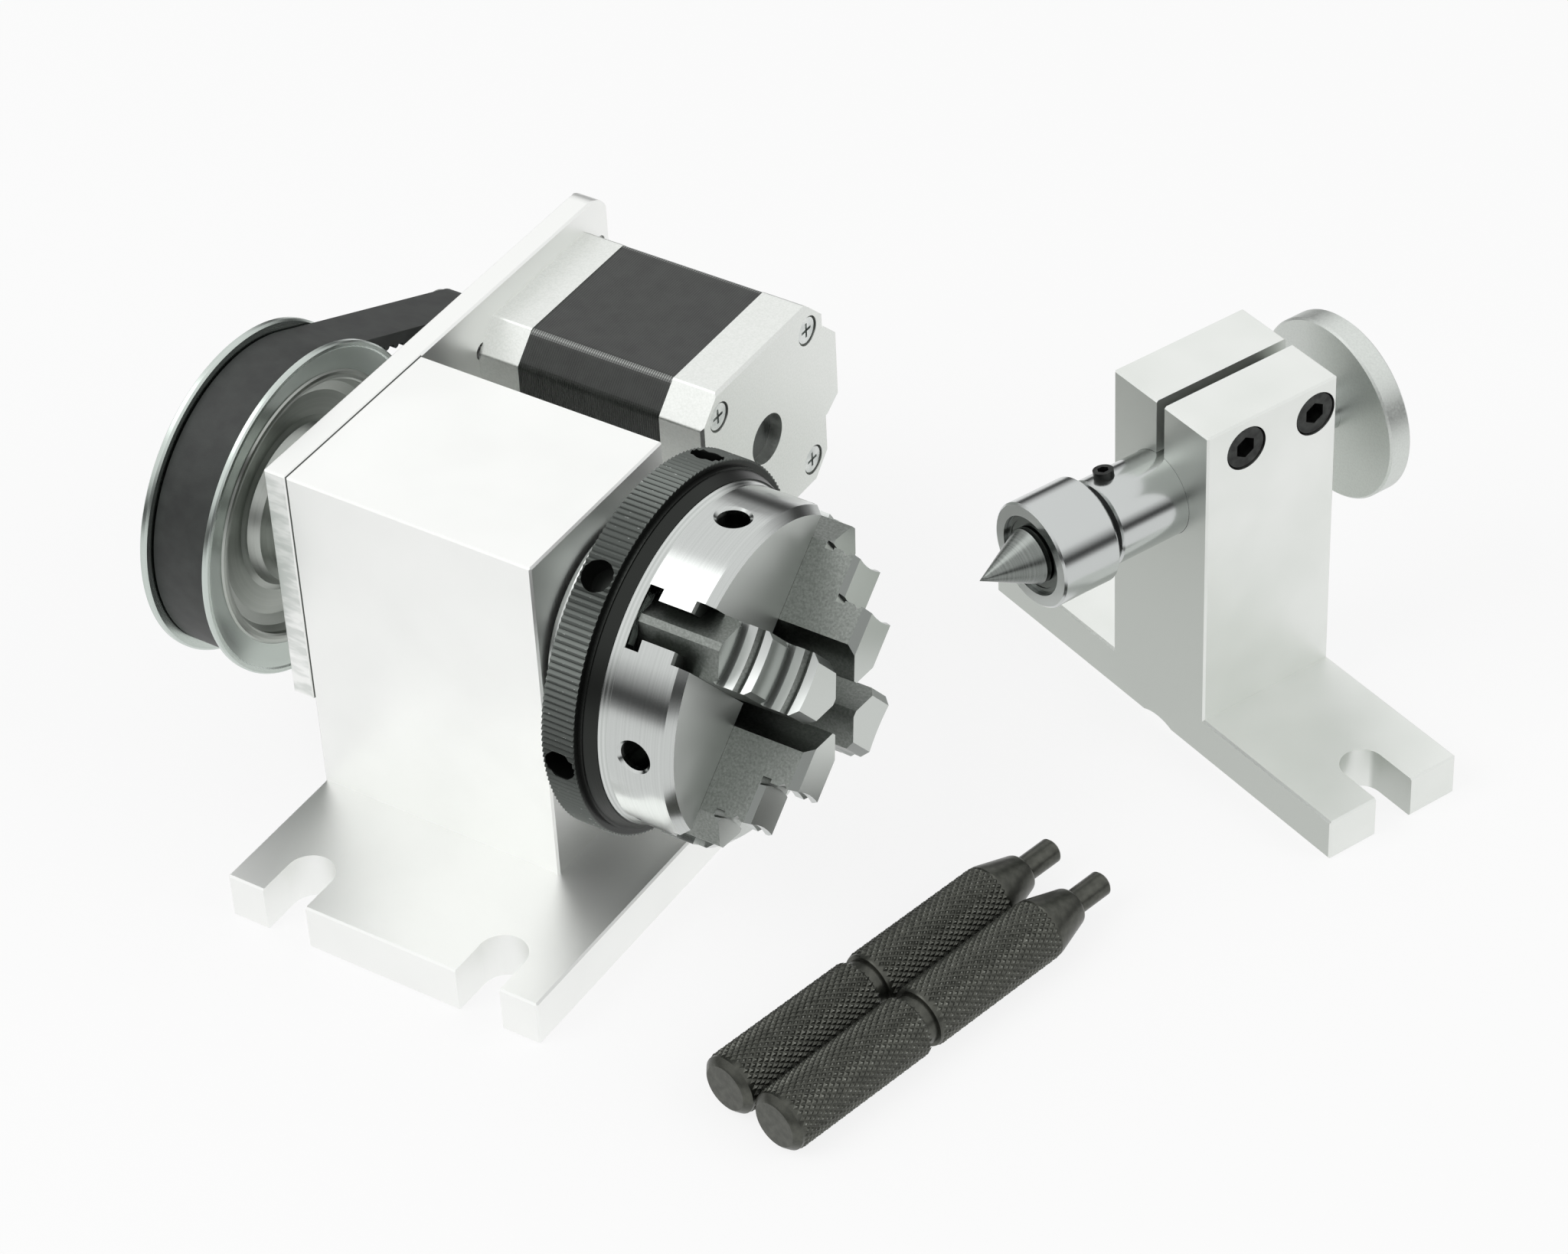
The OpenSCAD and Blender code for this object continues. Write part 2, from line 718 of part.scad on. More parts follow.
// One tooth on a straight span, at distance s from the spindle pulley's tangent point
module belt_tooth(inner, s, side) {
    y = inner * sin(tangent) + s * cos(tangent);
    z = inner * cos(tangent) - s * sin(tangent);
    translate([y, side * z, 0]) cylinder(h = belt_w, r = tooth_r, $fn = 20);
}

// Motor

// The four screw corners of a square pattern
module motor_corners(pitch) {
    for (y = [-pitch / 2, pitch / 2]) for (z = [-pitch / 2, pitch / 2]) translate([0, y, z]) children();
}

// A square prism along X with cut corners, the edges beside each cut rounded by radius q
module motor_prism(x0, x1, w, ch, q) {
    c = w / 2 - q;
    a = w / 2 - ch - q * tan(22.5);
    centres = [[a, c], [c, a], [c, -a], [a, -c], [-a, -c], [-c, -a], [-c, a], [-a, c]];
    translate([x0, 0, 0]) rotate([90, 0, 90]) linear_extrude(x1 - x0)
        polygon([for (k = [0 : 7]) for (t = [0 : 9 : 45])
            centres[k] + q * [cos(90 - 45 * k - t), sin(90 - 45 * k - t)]]);
}

module motor_front_cap() {
    pocket = x_seam + 1.6;
    color("whitesmoke") at_motor() difference() {
        union() {
            motor_prism(x_seam, x_stack, motor_w, motor_ch, 0.8);
            rod_x(x_seam - 2, x_seam + eps, pilot_d / 2, 96);
        }
        rod_x(x_seam - 3, pocket + 1, shaft_d / 2 + 1, 48);
        rod_x(pocket, x_stack + 1, motor_bearing_d / 2 + fit_gap);
        rod_x(pocket + motor_bearing_w, x_stack + 1, rotor_d / 2 + 1);
        motor_corners(motor_pitch) rod_x(x_seam - 1, x_stack + 1, 1.5, 32);
    }
}

module motor_stack() {
    color("#3a3d3a") at_motor() difference() {
        motor_prism(x_stack, x_cap_r, motor_w - 0.4, motor_ch - 0.4, motor_round);
        rod_x(x_stack - 1, x_cap_r + 1, rotor_d / 2 + run_gap, 96);
        motor_corners(motor_pitch) rod_x(x_stack - 1, x_cap_r + 1, 1.5 + screw_gap, 32);
    }
}

module motor_rear_cap() {
    pocket = x_motor_end - 2.6 - motor_bearing_w;
    color("whitesmoke") at_motor() difference() {
        union() {
            intersection() {
                motor_prism(x_cap_r, x_motor_end, motor_w, motor_ch, 0.8);
                soft_box([x_cap_r - 2, -motor_w / 2, -motor_w / 2], [cap_r + 2, motor_w, motor_w], 0.6);
            }
            translate([x_cap_r, 0, 0]) rotate([90, 0, 90]) linear_extrude(cap_r)
                polygon([[motor_w / 2 - 1, 13], [motor_w / 2, 13], [motor_w / 2 + 4, 9],
                    [motor_w / 2 + 4, -5.5], [motor_w / 2, -8], [motor_w / 2 - 1, -8]]);
        }
        rod_x(pocket - 1, x_motor_end + 1, rear_hole / 2, 64);
        rod_x(x_cap_r - 1, pocket + motor_bearing_w, motor_bearing_d / 2 + fit_gap);
        rod_x(x_cap_r - 1, pocket, rotor_d / 2 + 1);
        motor_corners(motor_pitch) {
            rod_x(x_cap_r - 1, x_motor_end + 1, 1.5 + screw_gap, 32);
            rod_x(x_motor_end - 1.8, x_motor_end + 1, 3.1, 32);
        }
        translate([x_cap_r - 1, motor_w / 2 - 1.6, -3.4]) cube([5.4, 8, 10.8]);
    }
}

// The white plug socket in the rear cap's side
module motor_plug_socket() {
    y0 = motor_w / 2 - 1.5;
    color("ivory") at_motor() difference() {
        translate([x_cap_r + 0.1, y0, -3.3]) cube([4.2, 5.2, 10.6]);
        translate([x_cap_r + 0.9, y0 + 1.4, -2.4]) cube([2.6, 5, 8.8]);
    }
}

module motor_bearings() {
    color("silver") at_motor() for (x = [x_seam + 1.6, x_motor_end - 2.6 - motor_bearing_w])
        tube_x(x, x + motor_bearing_w, motor_bearing_d / 2, shaft_d / 2 + fit_gap);
}

// Four long screws that hold the motor together, heads sunk in the rear cap
module motor_case_screws() {
    color("silver") at_motor() motor_corners(motor_pitch) difference() {
        union() {
            rod_x(x_stack - 2, x_motor_end - 1.8, 1.48, 32);
            rod_x(x_motor_end - 1.8, x_motor_end - 0.3, 2.7, 40);
        }
        for (a = [0, 90]) rotate([a, 0, 0]) translate([x_motor_end - 1.1, -1.6, -0.3]) cube([2, 3.2, 0.6]);
    }
}

module motor_mount_screws() {
    color("dimgray") at_motor() motor_corners(motor_pitch)
        translate([x_plate + mount_seat, 0, 0]) socket_screw(motor_screw_d, motor_screw_d * 1.86,
            mount_seat - 0.3, plate_t - mount_seat + motor_screw_d * 1.8, motor_screw_d * 0.84);
}

module motor_shaft() {
    color("silver") at_motor() difference() {
        rod_x(x_teeth_end - 0.5, x_motor_end - 2.2, shaft_d / 2, 48);
        translate([x_teeth_end - 1, -3, shaft_d / 2 - shaft_flat]) cube([20, 6, 2]);
    }
}

module motor_rotor() {
    x0 = x_stack + 2;
    x1 = x_cap_r - 2;
    color("darkgray") at_motor() difference() {
        tube_x(x0, x1, rotor_d / 2, shaft_d / 2 + 0.02);
        tube_x((x0 + x1) / 2 - 1.5, (x0 + x1) / 2 + 1.5, rotor_d, rotor_d / 2 - 1.2);
    }
}

// Chuck body

// The cross-section of a jaw way: wide at the back, narrow between the ribs, wide at the front.
// Drawn as [x, half width] and mirrored.
module way_section(x0, x1, gap) {
    w = jaw_w / 2 + gap;
    n = jaw_w / 2 - rib_d + gap;
    half = [[x0, w], [x_rib - gap, w], [x_rib - gap, n], [x_rib_end + gap, n], [x_rib_end + gap, w], [x1, w]];
    polygon(concat(half, [for (i = [len(half) - 1 : -1 : 0]) [half[i][0], -half[i][1]]]));
}

// A prism along the radial direction, from r0 to r1, with a section drawn in x and width
module radial_prism(angle, r0, r1) {
    rotate([angle - 90, 0, 0]) translate([0, 0, r0]) linear_extrude(r1 - r0) children();
}

module chuck_body() {
    r = chuck_d / 2;
    color("silver") at_spindle() difference() {
        spin_x([
            [hub_end, chuck_bore / 2], [hub_end, hub_r], [x_chuck, hub_r], [x_chuck, r],
            [x_face - chuck_ch, r], [x_face, r - chuck_ch], [x_face, chuck_bore / 2]
        ]);
        for (a = jaw_angles) radial_prism(a, 0, r + 2) way_section(x_chuck - 0.5, x_face + 1, 0);
        for (a = jaw_angles) rotate([a + 45 - 90, 0, 0]) translate([(x_rib + x_rib_end) / 2 - 0.9, 0, 0]) {
            q = tommy_hole / 2;
            translate([0, 0, r - tommy_depth]) rotate_extrude($fn = 48)
                polygon([[0, 0], [q, 0], [q, tommy_depth - 0.6], [q + 1.8, tommy_depth + 1.2], [0, tommy_depth + 1.2]]);
        }
        chuck_screw_places() rod_x(0, backplate_t + 8.2, chuck_screw_d / 2, 32);
    }
}

// Scroll: a flat spiral ridge on a disc, with a bevelled rim that shows as a bright ring

function spiral_r(turn) = hub_r + fit_gap + 0.9 + scroll_pitch * turn;
scroll_turns = (chuck_d / 2 - scroll_rim - 0.3 - ridge_w - spiral_r(0)) / scroll_pitch;
spiral_steps = 36;

// Radius of the spiral ridge's middle where jaw number i meets it, before adding whole turns
function tooth_r0(i) = spiral_r(jaw_angles[i] / 360) + scroll_pitch / 2;

module spiral_ridge() {
    n = floor(scroll_turns * spiral_steps);
    inner = [for (i = [0 : n]) let (t = i / spiral_steps, a = 360 * t, r = spiral_r(t) - ridge_w / 2)
        [r * cos(a), r * sin(a)]];
    outer = [for (i = [n : -1 : 0]) let (t = i / spiral_steps, a = 360 * t, r = spiral_r(t) + ridge_w / 2)
        [r * cos(a), r * sin(a)]];
    polygon(concat(inner, outer));
}

module scroll_plate() {
    r = chuck_d / 2;
    color("silver") at_spindle() {
        spin_x([
            [x_scroll_back, hub_r + fit_gap], [x_scroll_back, scroll_r], [x_collar, scroll_r],
            [x_collar, collar_r], [x_ring_end, collar_r], [x_ring_end, r + 0.3],
            [x_scroll_front, r - 0.6], [x_scroll_front, r - scroll_rim - 0.1],
            [x_scroll_floor, r - scroll_rim - 0.1], [x_scroll_floor, hub_r + fit_gap]
        ]);
        translate([x_scroll_floor - 0.2, 0, 0]) rotate([90, 0, 90]) linear_extrude(scroll_depth + 0.1)
            spiral_ridge();
    }
}

// Knurled outline: a ring of points that go in and out. The half step keeps its edges off the holes' middles.
function knurl_points(n, r, d) = [for (i = [0 : 2 * n - 1]) let (a = 180 * (i + 0.5) / n, q = r - (i % 2) * d)
    [q * cos(a), q * sin(a)]];

module scroll_grip_ring() {
    r = ring_r;
    x1 = x_ring + knurl_l;
    color("#3c3f3c") at_spindle() difference() {
        union() {
            translate([x_ring, 0, 0]) rotate([90, 0, 90]) linear_extrude(knurl_l)
                polygon(knurl_points(knurl_n, r, knurl_d));
            rod_x(x1 - eps, x1 + 0.9, r - 1.4, 96);
            spin_x([[x1 + 0.8, scroll_r], [x1 + 0.8, r - 1.8], [x_ring_end, chuck_d / 2 + 0.6],
                [x_ring_end, scroll_r]]);
        }
        rod_x(x_ring - 1, x_ring_end + 1, backplate_d / 2 + 0.2, 96);
        rod_x(x_scroll_back, x_ring_end + 1, scroll_r + 0.02, 96);
        rod_x(x_collar, x_ring_end + 1, collar_r + 0.02, 96);
        for (i = [0 : ring_holes - 1]) rotate([i * 360 / ring_holes + 64 - 90, 0, 0])
            translate([x_ring + knurl_l / 2, 0, scroll_r + 0.6]) cylinder(h = 10, d = tommy_hole + 0.2, $fn = 48);
    }
}

// Jaws

// One step of a jaw: a block with its long front edges chamfered
module jaw_block(r0, r1, x1, ch) {
    w = jaw_w / 2 - fit_gap;
    translate([0, 0, r0]) linear_extrude(r1 - r0)
        polygon([[x_jaw, -w], [x1 - ch, -w], [x1, -w + ch], [x1, w - ch], [x1 - ch, w], [x_jaw, w]]);
}

// A jaw seen from the front: a thin blade at the tip that widens at 45 degrees to the full width
module jaw_plan() {
    t = blade_w / 2;
    w = jaw_w / 2 + 1;
    side = [
        [t, jaw_open], [w, jaw_open + w - t],
        [w, jaw_end - (w - jaw_ridge / 2) * tan(jaw_end_slope)], [jaw_ridge / 2, jaw_end]
    ];
    translate([x_jaw - 1, 0, 0]) rotate([90, 0, 90]) linear_extrude(80)
        polygon(concat(side, [for (k = [3 : -1 : 0]) [-side[k][0], side[k][1]]]));
}

// What is cut in front of a step: a hollow riser, its corner groove and the groove across its middle
module jaw_riser(x0, x1, r) {
    spin_x([
        [x0, 0], [x0, grip_r - 0.9], [x0 - 0.9, grip_r - 0.9], [x0 - 0.9, grip_r + 0.7],
        [x0 + 0.9, grip_r + 0.7], [x0 + 0.9, grip_r], [x0 + 2.7, grip_r], [x0 + 3.5, grip_r + 0.8],
        [x0 + 4.3, grip_r], [x1 + 1, grip_r], [x1 + 1, 0]
    ], r + grip_r);
}

module jaw(i) {
    angle = jaw_angles[i];
    w = jaw_w / 2 - fit_gap;
    x1 = x_face + jaw_h1;
    x2 = x1 + jaw_rise;
    x3 = x2 + jaw_rise;
    r1 = jaw_end - jaw_land;
    r2 = r1 - jaw_step;
    color("#6f7370") at_spindle() rotate([angle - 90, 0, 0]) {
        difference() {
            intersection() {
                union() {
                    jaw_block(jaw_open, jaw_end + 1, x1, 1);
                    jaw_block(jaw_open, r1 + 1, x2, 1);
                    jaw_block(jaw_open, r2 + 1, x3, 1.4);
                }
                jaw_plan();
            }
            for (side = [-1, 1]) {
                translate([x_rib - fit_gap, side > 0 ? jaw_w / 2 - rib_d - fit_gap : -jaw_w / 2 - 1, jaw_open - 1])
                    cube([rib_t + 2 * fit_gap, rib_d + 1 + fit_gap, jaw_l + 2]);
            }
            jaw_riser(x1, x2, r1);
            jaw_riser(x2, x3, r2);
        }
        jaw_teeth(i);
    }
}

// Arc teeth on the back of a jaw, each between two turns of the scroll
module jaw_teeth(i) {
    depth = scroll_depth - 0.35;
    intersection() {
        translate([x_scroll_floor + 0.25, -jaw_w / 2 + fit_gap, 0])
            cube([x_jaw - x_scroll_floor + 0.3, jaw_w - 2 * fit_gap, jaw_end + 4]);
        union() for (k = [0 : 8]) let (r = tooth_r0(i) + k * scroll_pitch)
            if (r > tooth_in && r < tooth_out)
                tube_x(x_scroll_floor, x_jaw + 0.25, r + jaw_tooth_w / 2, r - jaw_tooth_w / 2);
    }
}

module jaw_1() { jaw(0); }
module jaw_2() { jaw(1); }
module jaw_3() { jaw(2); }
module jaw_4() { jaw(3); }

// Tailstock

module tailstock_body() {
    r = quill_d / 2 + fit_gap;
    color("gainsboro") at_tail() difference() {
        union() {
            soft_box([x_tail_face, -tail_base_w / 2, 0], [tail_l, tail_base_w, tail_base_t], edge_ch);
            soft_box([x_tail_face, -tail_w / 2, 0], [tail_l, tail_w, tail_h], edge_ch);
        }
        for (side = [-1, 1]) edge_slot(0, side * tail_base_w / 2, tail_slot_w, tail_slot_d, tail_base_t, side);
        translate([0, 0, axis_h]) {
            rod_x(x_tail_face - 1, quill_bore_end, r, 96);
            rod_x(quill_bore_end - 1, tail_l / 2 + 1, feed_d / 2 + fit_gap);
        }
        translate([x_tail_face - 1, -split_w / 2, axis_h]) cube([tail_l + 2, split_w, tail_h]);
        clamp_places() {
            rod_y(-tail_w / 2 - 1, -tail_w / 2 + cap_head_h + 0.3, clamp_head / 2 + 0.35);
            rod_y(-tail_w / 2, -split_w / 2, 2.5 + screw_gap);
            rod_y(split_w / 2 - 1, tail_w / 2 - 3, 2.5);
        }
        translate([x_tail_face - 1, 0, -8.7]) rotate([0, 90, 0]) cylinder(h = tail_l + 2, r = 10, $fn = 64);
    }
}

// A rod along Y from y0 to y1
module rod_y(y0, y1, r) {
    translate([0, y0, 0]) rotate([-90, 0, 0]) cylinder(h = y1 - y0, r = r, $fn = 48);
}

module clamp_places() {
    for (x = [-clamp_pitch / 2, clamp_pitch / 2]) translate([x + clamp_shift, 0, clamp_z]) children();
}

module clamp_screws() {
    seat = -tail_w / 2 + cap_head_h + 0.3;
    color("dimgray") at_tail() clamp_places() translate([0, seat, 0]) rotate([0, 0, 90])
        socket_screw(4.96, clamp_head, cap_head_h, tail_w - cap_head_h - 4, 4);
}

module quill() {
    x1 = x_quill + quill_l;
    color("gainsboro") at_tail() translate([0, 0, axis_h]) difference() {
        spin_x([
            [x_quill, shank_r + fit_gap], [x_quill, quill_d / 2 - 0.4], [x_quill + 0.4, quill_d / 2],
            [x1 - 0.6, quill_d / 2], [x1, quill_d / 2 - 0.6], [x1, feed_d / 2 + fit_gap],
            [x1 - 16, feed_d / 2 + fit_gap], [x_quill + shank_l + 0.5, feed_d / 2 + fit_gap],
            [x_quill + shank_l + 0.5, shank_r + fit_gap]
        ]);
        grub_place() cylinder(h = 10, r = 2, $fn = 32);
    }
}

module grub_place() {
    translate([x_quill + 3.6, 0, 0]) rotate([-12, 0, 0]) children();
}

module quill_set_screw() {
    color("dimgray") at_tail() translate([0, 0, axis_h]) grub_place() difference() {
        translate([0, 0, shank_r]) cylinder(h = quill_d / 2 - shank_r + 1.4, r = 1.98, $fn = 32);
        translate([0, 0, quill_d / 2 - 0.2]) cylinder(h = 3, d = 2.3, $fn = 6);
    }
}

module feed_screw() {
    color("silver") at_tail() translate([0, 0, axis_h]) difference() {
        rod_x(x_quill + quill_l - 14, x_wheel + wheel_t - 0.8, feed_d / 2);
        rod_x(x_wheel + wheel_t - 7, x_wheel + wheel_t + 1, 1.5, 32);
    }
}

module handwheel() {
    r = wheel_d / 2;
    color("gainsboro") at_tail() translate([0, 0, axis_h]) difference() {
        spin_x([
            [x_wheel, feed_d / 2 + 0.02], [x_wheel, r - 0.4], [x_wheel + 0.4, r],
            [x_wheel + wheel_t - 0.4, r], [x_wheel + wheel_t, r - 0.4], [x_wheel + wheel_t, feed_d / 2 + 0.02]
        ]);
    }
}

module handwheel_screw() {
    x = x_wheel + wheel_t;
    color("dimgray") at_tail() translate([0, 0, axis_h]) mirror([1, 0, 0]) translate([-x, 0, 0])
        socket_screw(2.96, 9.4, 2, 5.5, 2.5);
}

// Live centre

module live_centre_housing() {
    r = head_d / 2;
    x_floor = x_head + live_w + 0.8;
    color("gainsboro") at_tail() translate([0, 0, axis_h]) spin_x([
        [x_head, live_od / 2 + fit_gap], [x_head, r - 0.4], [x_head + 0.4, r], [x_head_back - 0.4, r],
        [x_head_back, r - 0.4], [x_head_back, shank_r], [x_quill + shank_l, shank_r],
        [x_quill + shank_l, 0], [x_floor + 3.5, 0], [x_floor + 3.5, 4.4], [x_floor + run_gap, 4.4],
        [x_floor + run_gap, 6.6], [x_floor, 6.6], [x_floor, live_od / 2 + fit_gap]
    ]);
}

// The dark ring in the neck between housing and quill
module live_centre_seal_ring() {
    color("#2b2d2b") at_tail() translate([0, 0, axis_h])
        tube_x(x_head_back, x_quill, quill_d / 2 - 1.8, shank_r + 0.02);
}

module live_outer_race() {
    color("silver") at_tail() translate([0, 0, axis_h])
        race(x_head + 0.8, live_od / 2, live_od / 2 - 1.1, live_w, 1.25, (live_od + live_bore) / 4);
}

module live_inner_race() {
    color("silver") at_tail() translate([0, 0, axis_h])
        race(x_head + 0.8, live_bore / 2 + 1.1, live_bore / 2 + 0.02, live_w, 1.25, (live_od + live_bore) / 4);
}

module live_balls() {
    color("lightgray") at_tail() translate([0, 0, axis_h]) for (i = [0 : 9])
        rotate([i * 36, 0, 0]) translate([x_head + 0.8 + live_w / 2, 0, (live_od + live_bore) / 4])
            sphere(1.25, $fn = 24);
}

// Thin shield in front of the balls
module live_shield() {
    color("darkgray") at_tail() translate([0, 0, axis_h])
        tube_x(x_head + 0.95, x_head + 1.25, live_od / 2 - 1.12, live_bore / 2 + 1.25);
}

module centre_point() {
    r = cone_d / 2;
    base = x_head + 0.6;
    color("#5d605d") at_tail() translate([0, 0, axis_h]) spin_x([
        [base - 1 - cone_l, 0], [base - 1.5, r - 0.3], [base - 1, r], [base, r], [base, live_bore / 2],
        [x_head + live_w + 3.4, live_bore / 2], [x_head + live_w + 3.9, live_bore / 2 - 0.5],
        [x_head + live_w + 3.9, 0]
    ]);
}

// Tommy bars

module tommy_bar(shift) {
    r = bar_d / 2;
    p = bar_pin_d / 2;
    x_pin = bar_l - bar_pin_l;
    x_taper = x_pin - bar_taper;
    color("#3f423e") translate([bar_x, bar_y, r]) rotate([0, 0, bar_turn]) translate([shift[0], shift[1], 0])
        spin_x([
            [0, 0], [0, r - 1.2], [1.2, r], [bar_groove - 0.3, r], [bar_groove, r - 0.3],
            [bar_groove, r - 1.1], [bar_groove + 2.6, r - 1.1], [bar_groove + 2.6, r - 0.3],
            [bar_groove + 2.9, r], [x_taper, r], [x_pin - 0.6, 3.9], [x_pin, 3.5], [x_pin, p],
            [bar_l - 0.4, p], [bar_l, p - 0.4], [bar_l, 0]
        ]);
}

module tommy_bar_1() {
    tommy_bar([0, 0]);
}

module tommy_bar_2() {
    tommy_bar([-0.4, -bar_d - 0.5]);
}

headstock_block();
drive_plate();
plate_screws();
bearing_outer_races();
bearing_circlip();
motor_front_cap();
motor_stack();
motor_rear_cap();
motor_bearings();
motor_case_screws();
motor_mount_screws();
motor_plug_socket();
timing_belt();
spindle();
bearing_inner_races();
bearing_balls();
bearing_spacer();
drive_pulley();
pulley_flange_near();
pulley_flange_far();
spindle_nut();
chuck_backplate();
backplate_screws();
chuck_body();
chuck_screws();
scroll_plate();
scroll_grip_ring();
jaw_1();
jaw_2();
jaw_3();
jaw_4();
motor_shaft();
motor_rotor();
motor_pulley();
motor_pulley_screw();
tailstock_body();
clamp_screws();
quill();
quill_set_screw();
live_centre_housing();
live_centre_seal_ring();
live_outer_race();
live_balls();
live_inner_race();
live_shield();
centre_point();
feed_screw();
handwheel();
handwheel_screw();
tommy_bar_1();
tommy_bar_2();
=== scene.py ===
import json
import math

import bpy
from mathutils import Matrix, Vector


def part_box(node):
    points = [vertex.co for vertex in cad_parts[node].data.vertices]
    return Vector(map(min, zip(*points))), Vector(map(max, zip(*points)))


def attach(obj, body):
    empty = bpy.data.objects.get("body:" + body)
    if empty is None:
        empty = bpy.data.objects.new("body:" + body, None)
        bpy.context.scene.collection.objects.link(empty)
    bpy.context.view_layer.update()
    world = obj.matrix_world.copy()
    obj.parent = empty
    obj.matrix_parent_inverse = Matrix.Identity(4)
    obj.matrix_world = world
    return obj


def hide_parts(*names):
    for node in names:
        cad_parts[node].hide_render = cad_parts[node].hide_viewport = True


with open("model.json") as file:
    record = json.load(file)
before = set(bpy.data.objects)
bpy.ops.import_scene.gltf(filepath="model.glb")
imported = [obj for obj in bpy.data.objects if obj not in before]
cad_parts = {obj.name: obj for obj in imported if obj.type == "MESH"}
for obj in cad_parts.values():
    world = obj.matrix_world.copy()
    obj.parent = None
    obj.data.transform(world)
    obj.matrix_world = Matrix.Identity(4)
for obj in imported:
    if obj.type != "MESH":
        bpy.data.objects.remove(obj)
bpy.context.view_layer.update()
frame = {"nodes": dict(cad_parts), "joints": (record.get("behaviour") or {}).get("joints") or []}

# Headstock block
#
# One block of aluminium with a slotted base, milled on every face and then lightly blasted, so that
# it is almost white. A thin dark line of painted shade marks the seam where the drive plate meets it.

nodes = frame["nodes"]
MM = 0.001
CLOUDS_PER_MM = 0.05
BLAST_GRAINS_PER_MM = 4.0
PAINTED_SHADE_FACE = "#c0c4bf"
SEAM_PAINTED_SHADE = "#565956"
SEAM_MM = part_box("drive_plate")[1][0] / MM
SEAM_CORE_MM = 0.14
SEAM_FADE_MM = 0.22
SEAM_MARGIN_MM = 0.3
BLOCK_HALF_MM = 21.2


def linear(hex_colour):
    """The linear RGBA of an sRGB hex value."""
    parts = [int(hex_colour[i:i + 2], 16) / 255 for i in (1, 3, 5)]
    return [p / 12.92 if p <= 0.04045 else ((p + 0.055) / 1.055) ** 2.4 for p in parts] + [1.0]


def wire(node, inputs):
    """Sets inputs of a node: a number or a colour is written in, and another node's output is linked."""
    for key, value in dict(inputs).items():
        if isinstance(value, bpy.types.NodeSocket):
            node.id_data.links.new(value, node.inputs[key])
        else:
            node.inputs[key].default_value = value


def add(tree, kind, inputs=(), **settings):
    """Adds a node. Inputs that share a name, as on Math and Mix, go by number."""
    made = tree.nodes.new(kind)
    for name, value in settings.items():
        setattr(made, name, value)
    wire(made, inputs)
    return made


def new_material(name, metallic, roughness):
    """A material, its node tree and its shader, with the numbers that are the same all over."""
    made = bpy.data.materials.new(name)
    made.use_nodes = True
    shader = made.node_tree.nodes["Principled BSDF"]
    wire(shader, {"Metallic": metallic, "Roughness": roughness})
    return made, made.node_tree, shader


def placed(tree, origin=(0, 0, 0), turn=0.0):
    """Object coordinates in millimetres, seen from a piece's own origin and turned with it.

    On them a noise texture's Scale is the number of its marks in a millimetre.
    """
    coords = add(tree, "ShaderNodeTexCoord")
    local = add(tree, "ShaderNodeMapping", {"Vector": coords.outputs["Object"], "Location": origin,
                                            "Rotation": (0, 0, turn)}, vector_type="TEXTURE")
    scaled = add(tree, "ShaderNodeMapping", {"Vector": local.outputs[0], "Scale": [1 / MM] * 3})
    return scaled.outputs[0]


def looks(tree):
    """X, Y and Z of the way that the surface looks, in the part's own axes."""
    facing = add(tree, "ShaderNodeTexCoord")
    return add(tree, "ShaderNodeSeparateXYZ", {0: facing.outputs["Normal"]}).outputs


def blend(tree, pattern, under, over, low=None, high=None):
    """The colour under, turning to the colour over while the pattern goes from low to high, or 0 to 1."""
    if low is not None:
        pattern = add(tree, "ShaderNodeMapRange", {"Value": pattern, "From Min": low,
                                                   "From Max": high}).outputs[0]
    ends = [linear(colour) if isinstance(colour, str) else colour for colour in (under, over)]
    mix = add(tree, "ShaderNodeMix", {0: pattern, 6: ends[0], 7: ends[1]}, data_type="RGBA")
    return mix.outputs[2]


def dress(material, *names):
    """Gives CAD nodes a material."""
    for name in names:
        for slot in nodes[name].material_slots:
            slot.material = material


def near_seam(tree, where):
    """1 in the joint between the block and the plate, where painted shade darkens the seam, and 0 elsewhere.
    """
    place = add(tree, "ShaderNodeSeparateXYZ", {0: where})
    off = add(tree, "ShaderNodeMath", {0: place.outputs[0], 1: SEAM_MM}, operation="SUBTRACT")
    away = add(tree, "ShaderNodeMath", {0: off.outputs[0]}, operation="ABSOLUTE")
    close = add(tree, "ShaderNodeMapRange", {"Value": away.outputs[0], "From Min": SEAM_FADE_MM,
                                             "From Max": SEAM_CORE_MM})
    flat = add(tree, "ShaderNodeMath", {0: looks(tree)[0]}, operation="ABSOLUTE")
    crossing = add(tree, "ShaderNodeMath", {0: flat.outputs[0], 1: 0.9}, operation="LESS_THAN")
    line = add(tree, "ShaderNodeMath", {0: close.outputs[0], 1: crossing.outputs[0]}, operation="MULTIPLY")
    aside = add(tree, "ShaderNodeMath", {0: place.outputs[1]}, operation="ABSOLUTE")
    at_block = add(tree, "ShaderNodeMath", {0: aside.outputs[0], 1: BLOCK_HALF_MM + SEAM_MARGIN_MM},
                   operation="LESS_THAN")
    seam = add(tree, "ShaderNodeMath", {0: line.outputs[0], 1: at_block.outputs[0]}, operation="MULTIPLY")
    return seam.outputs[0]


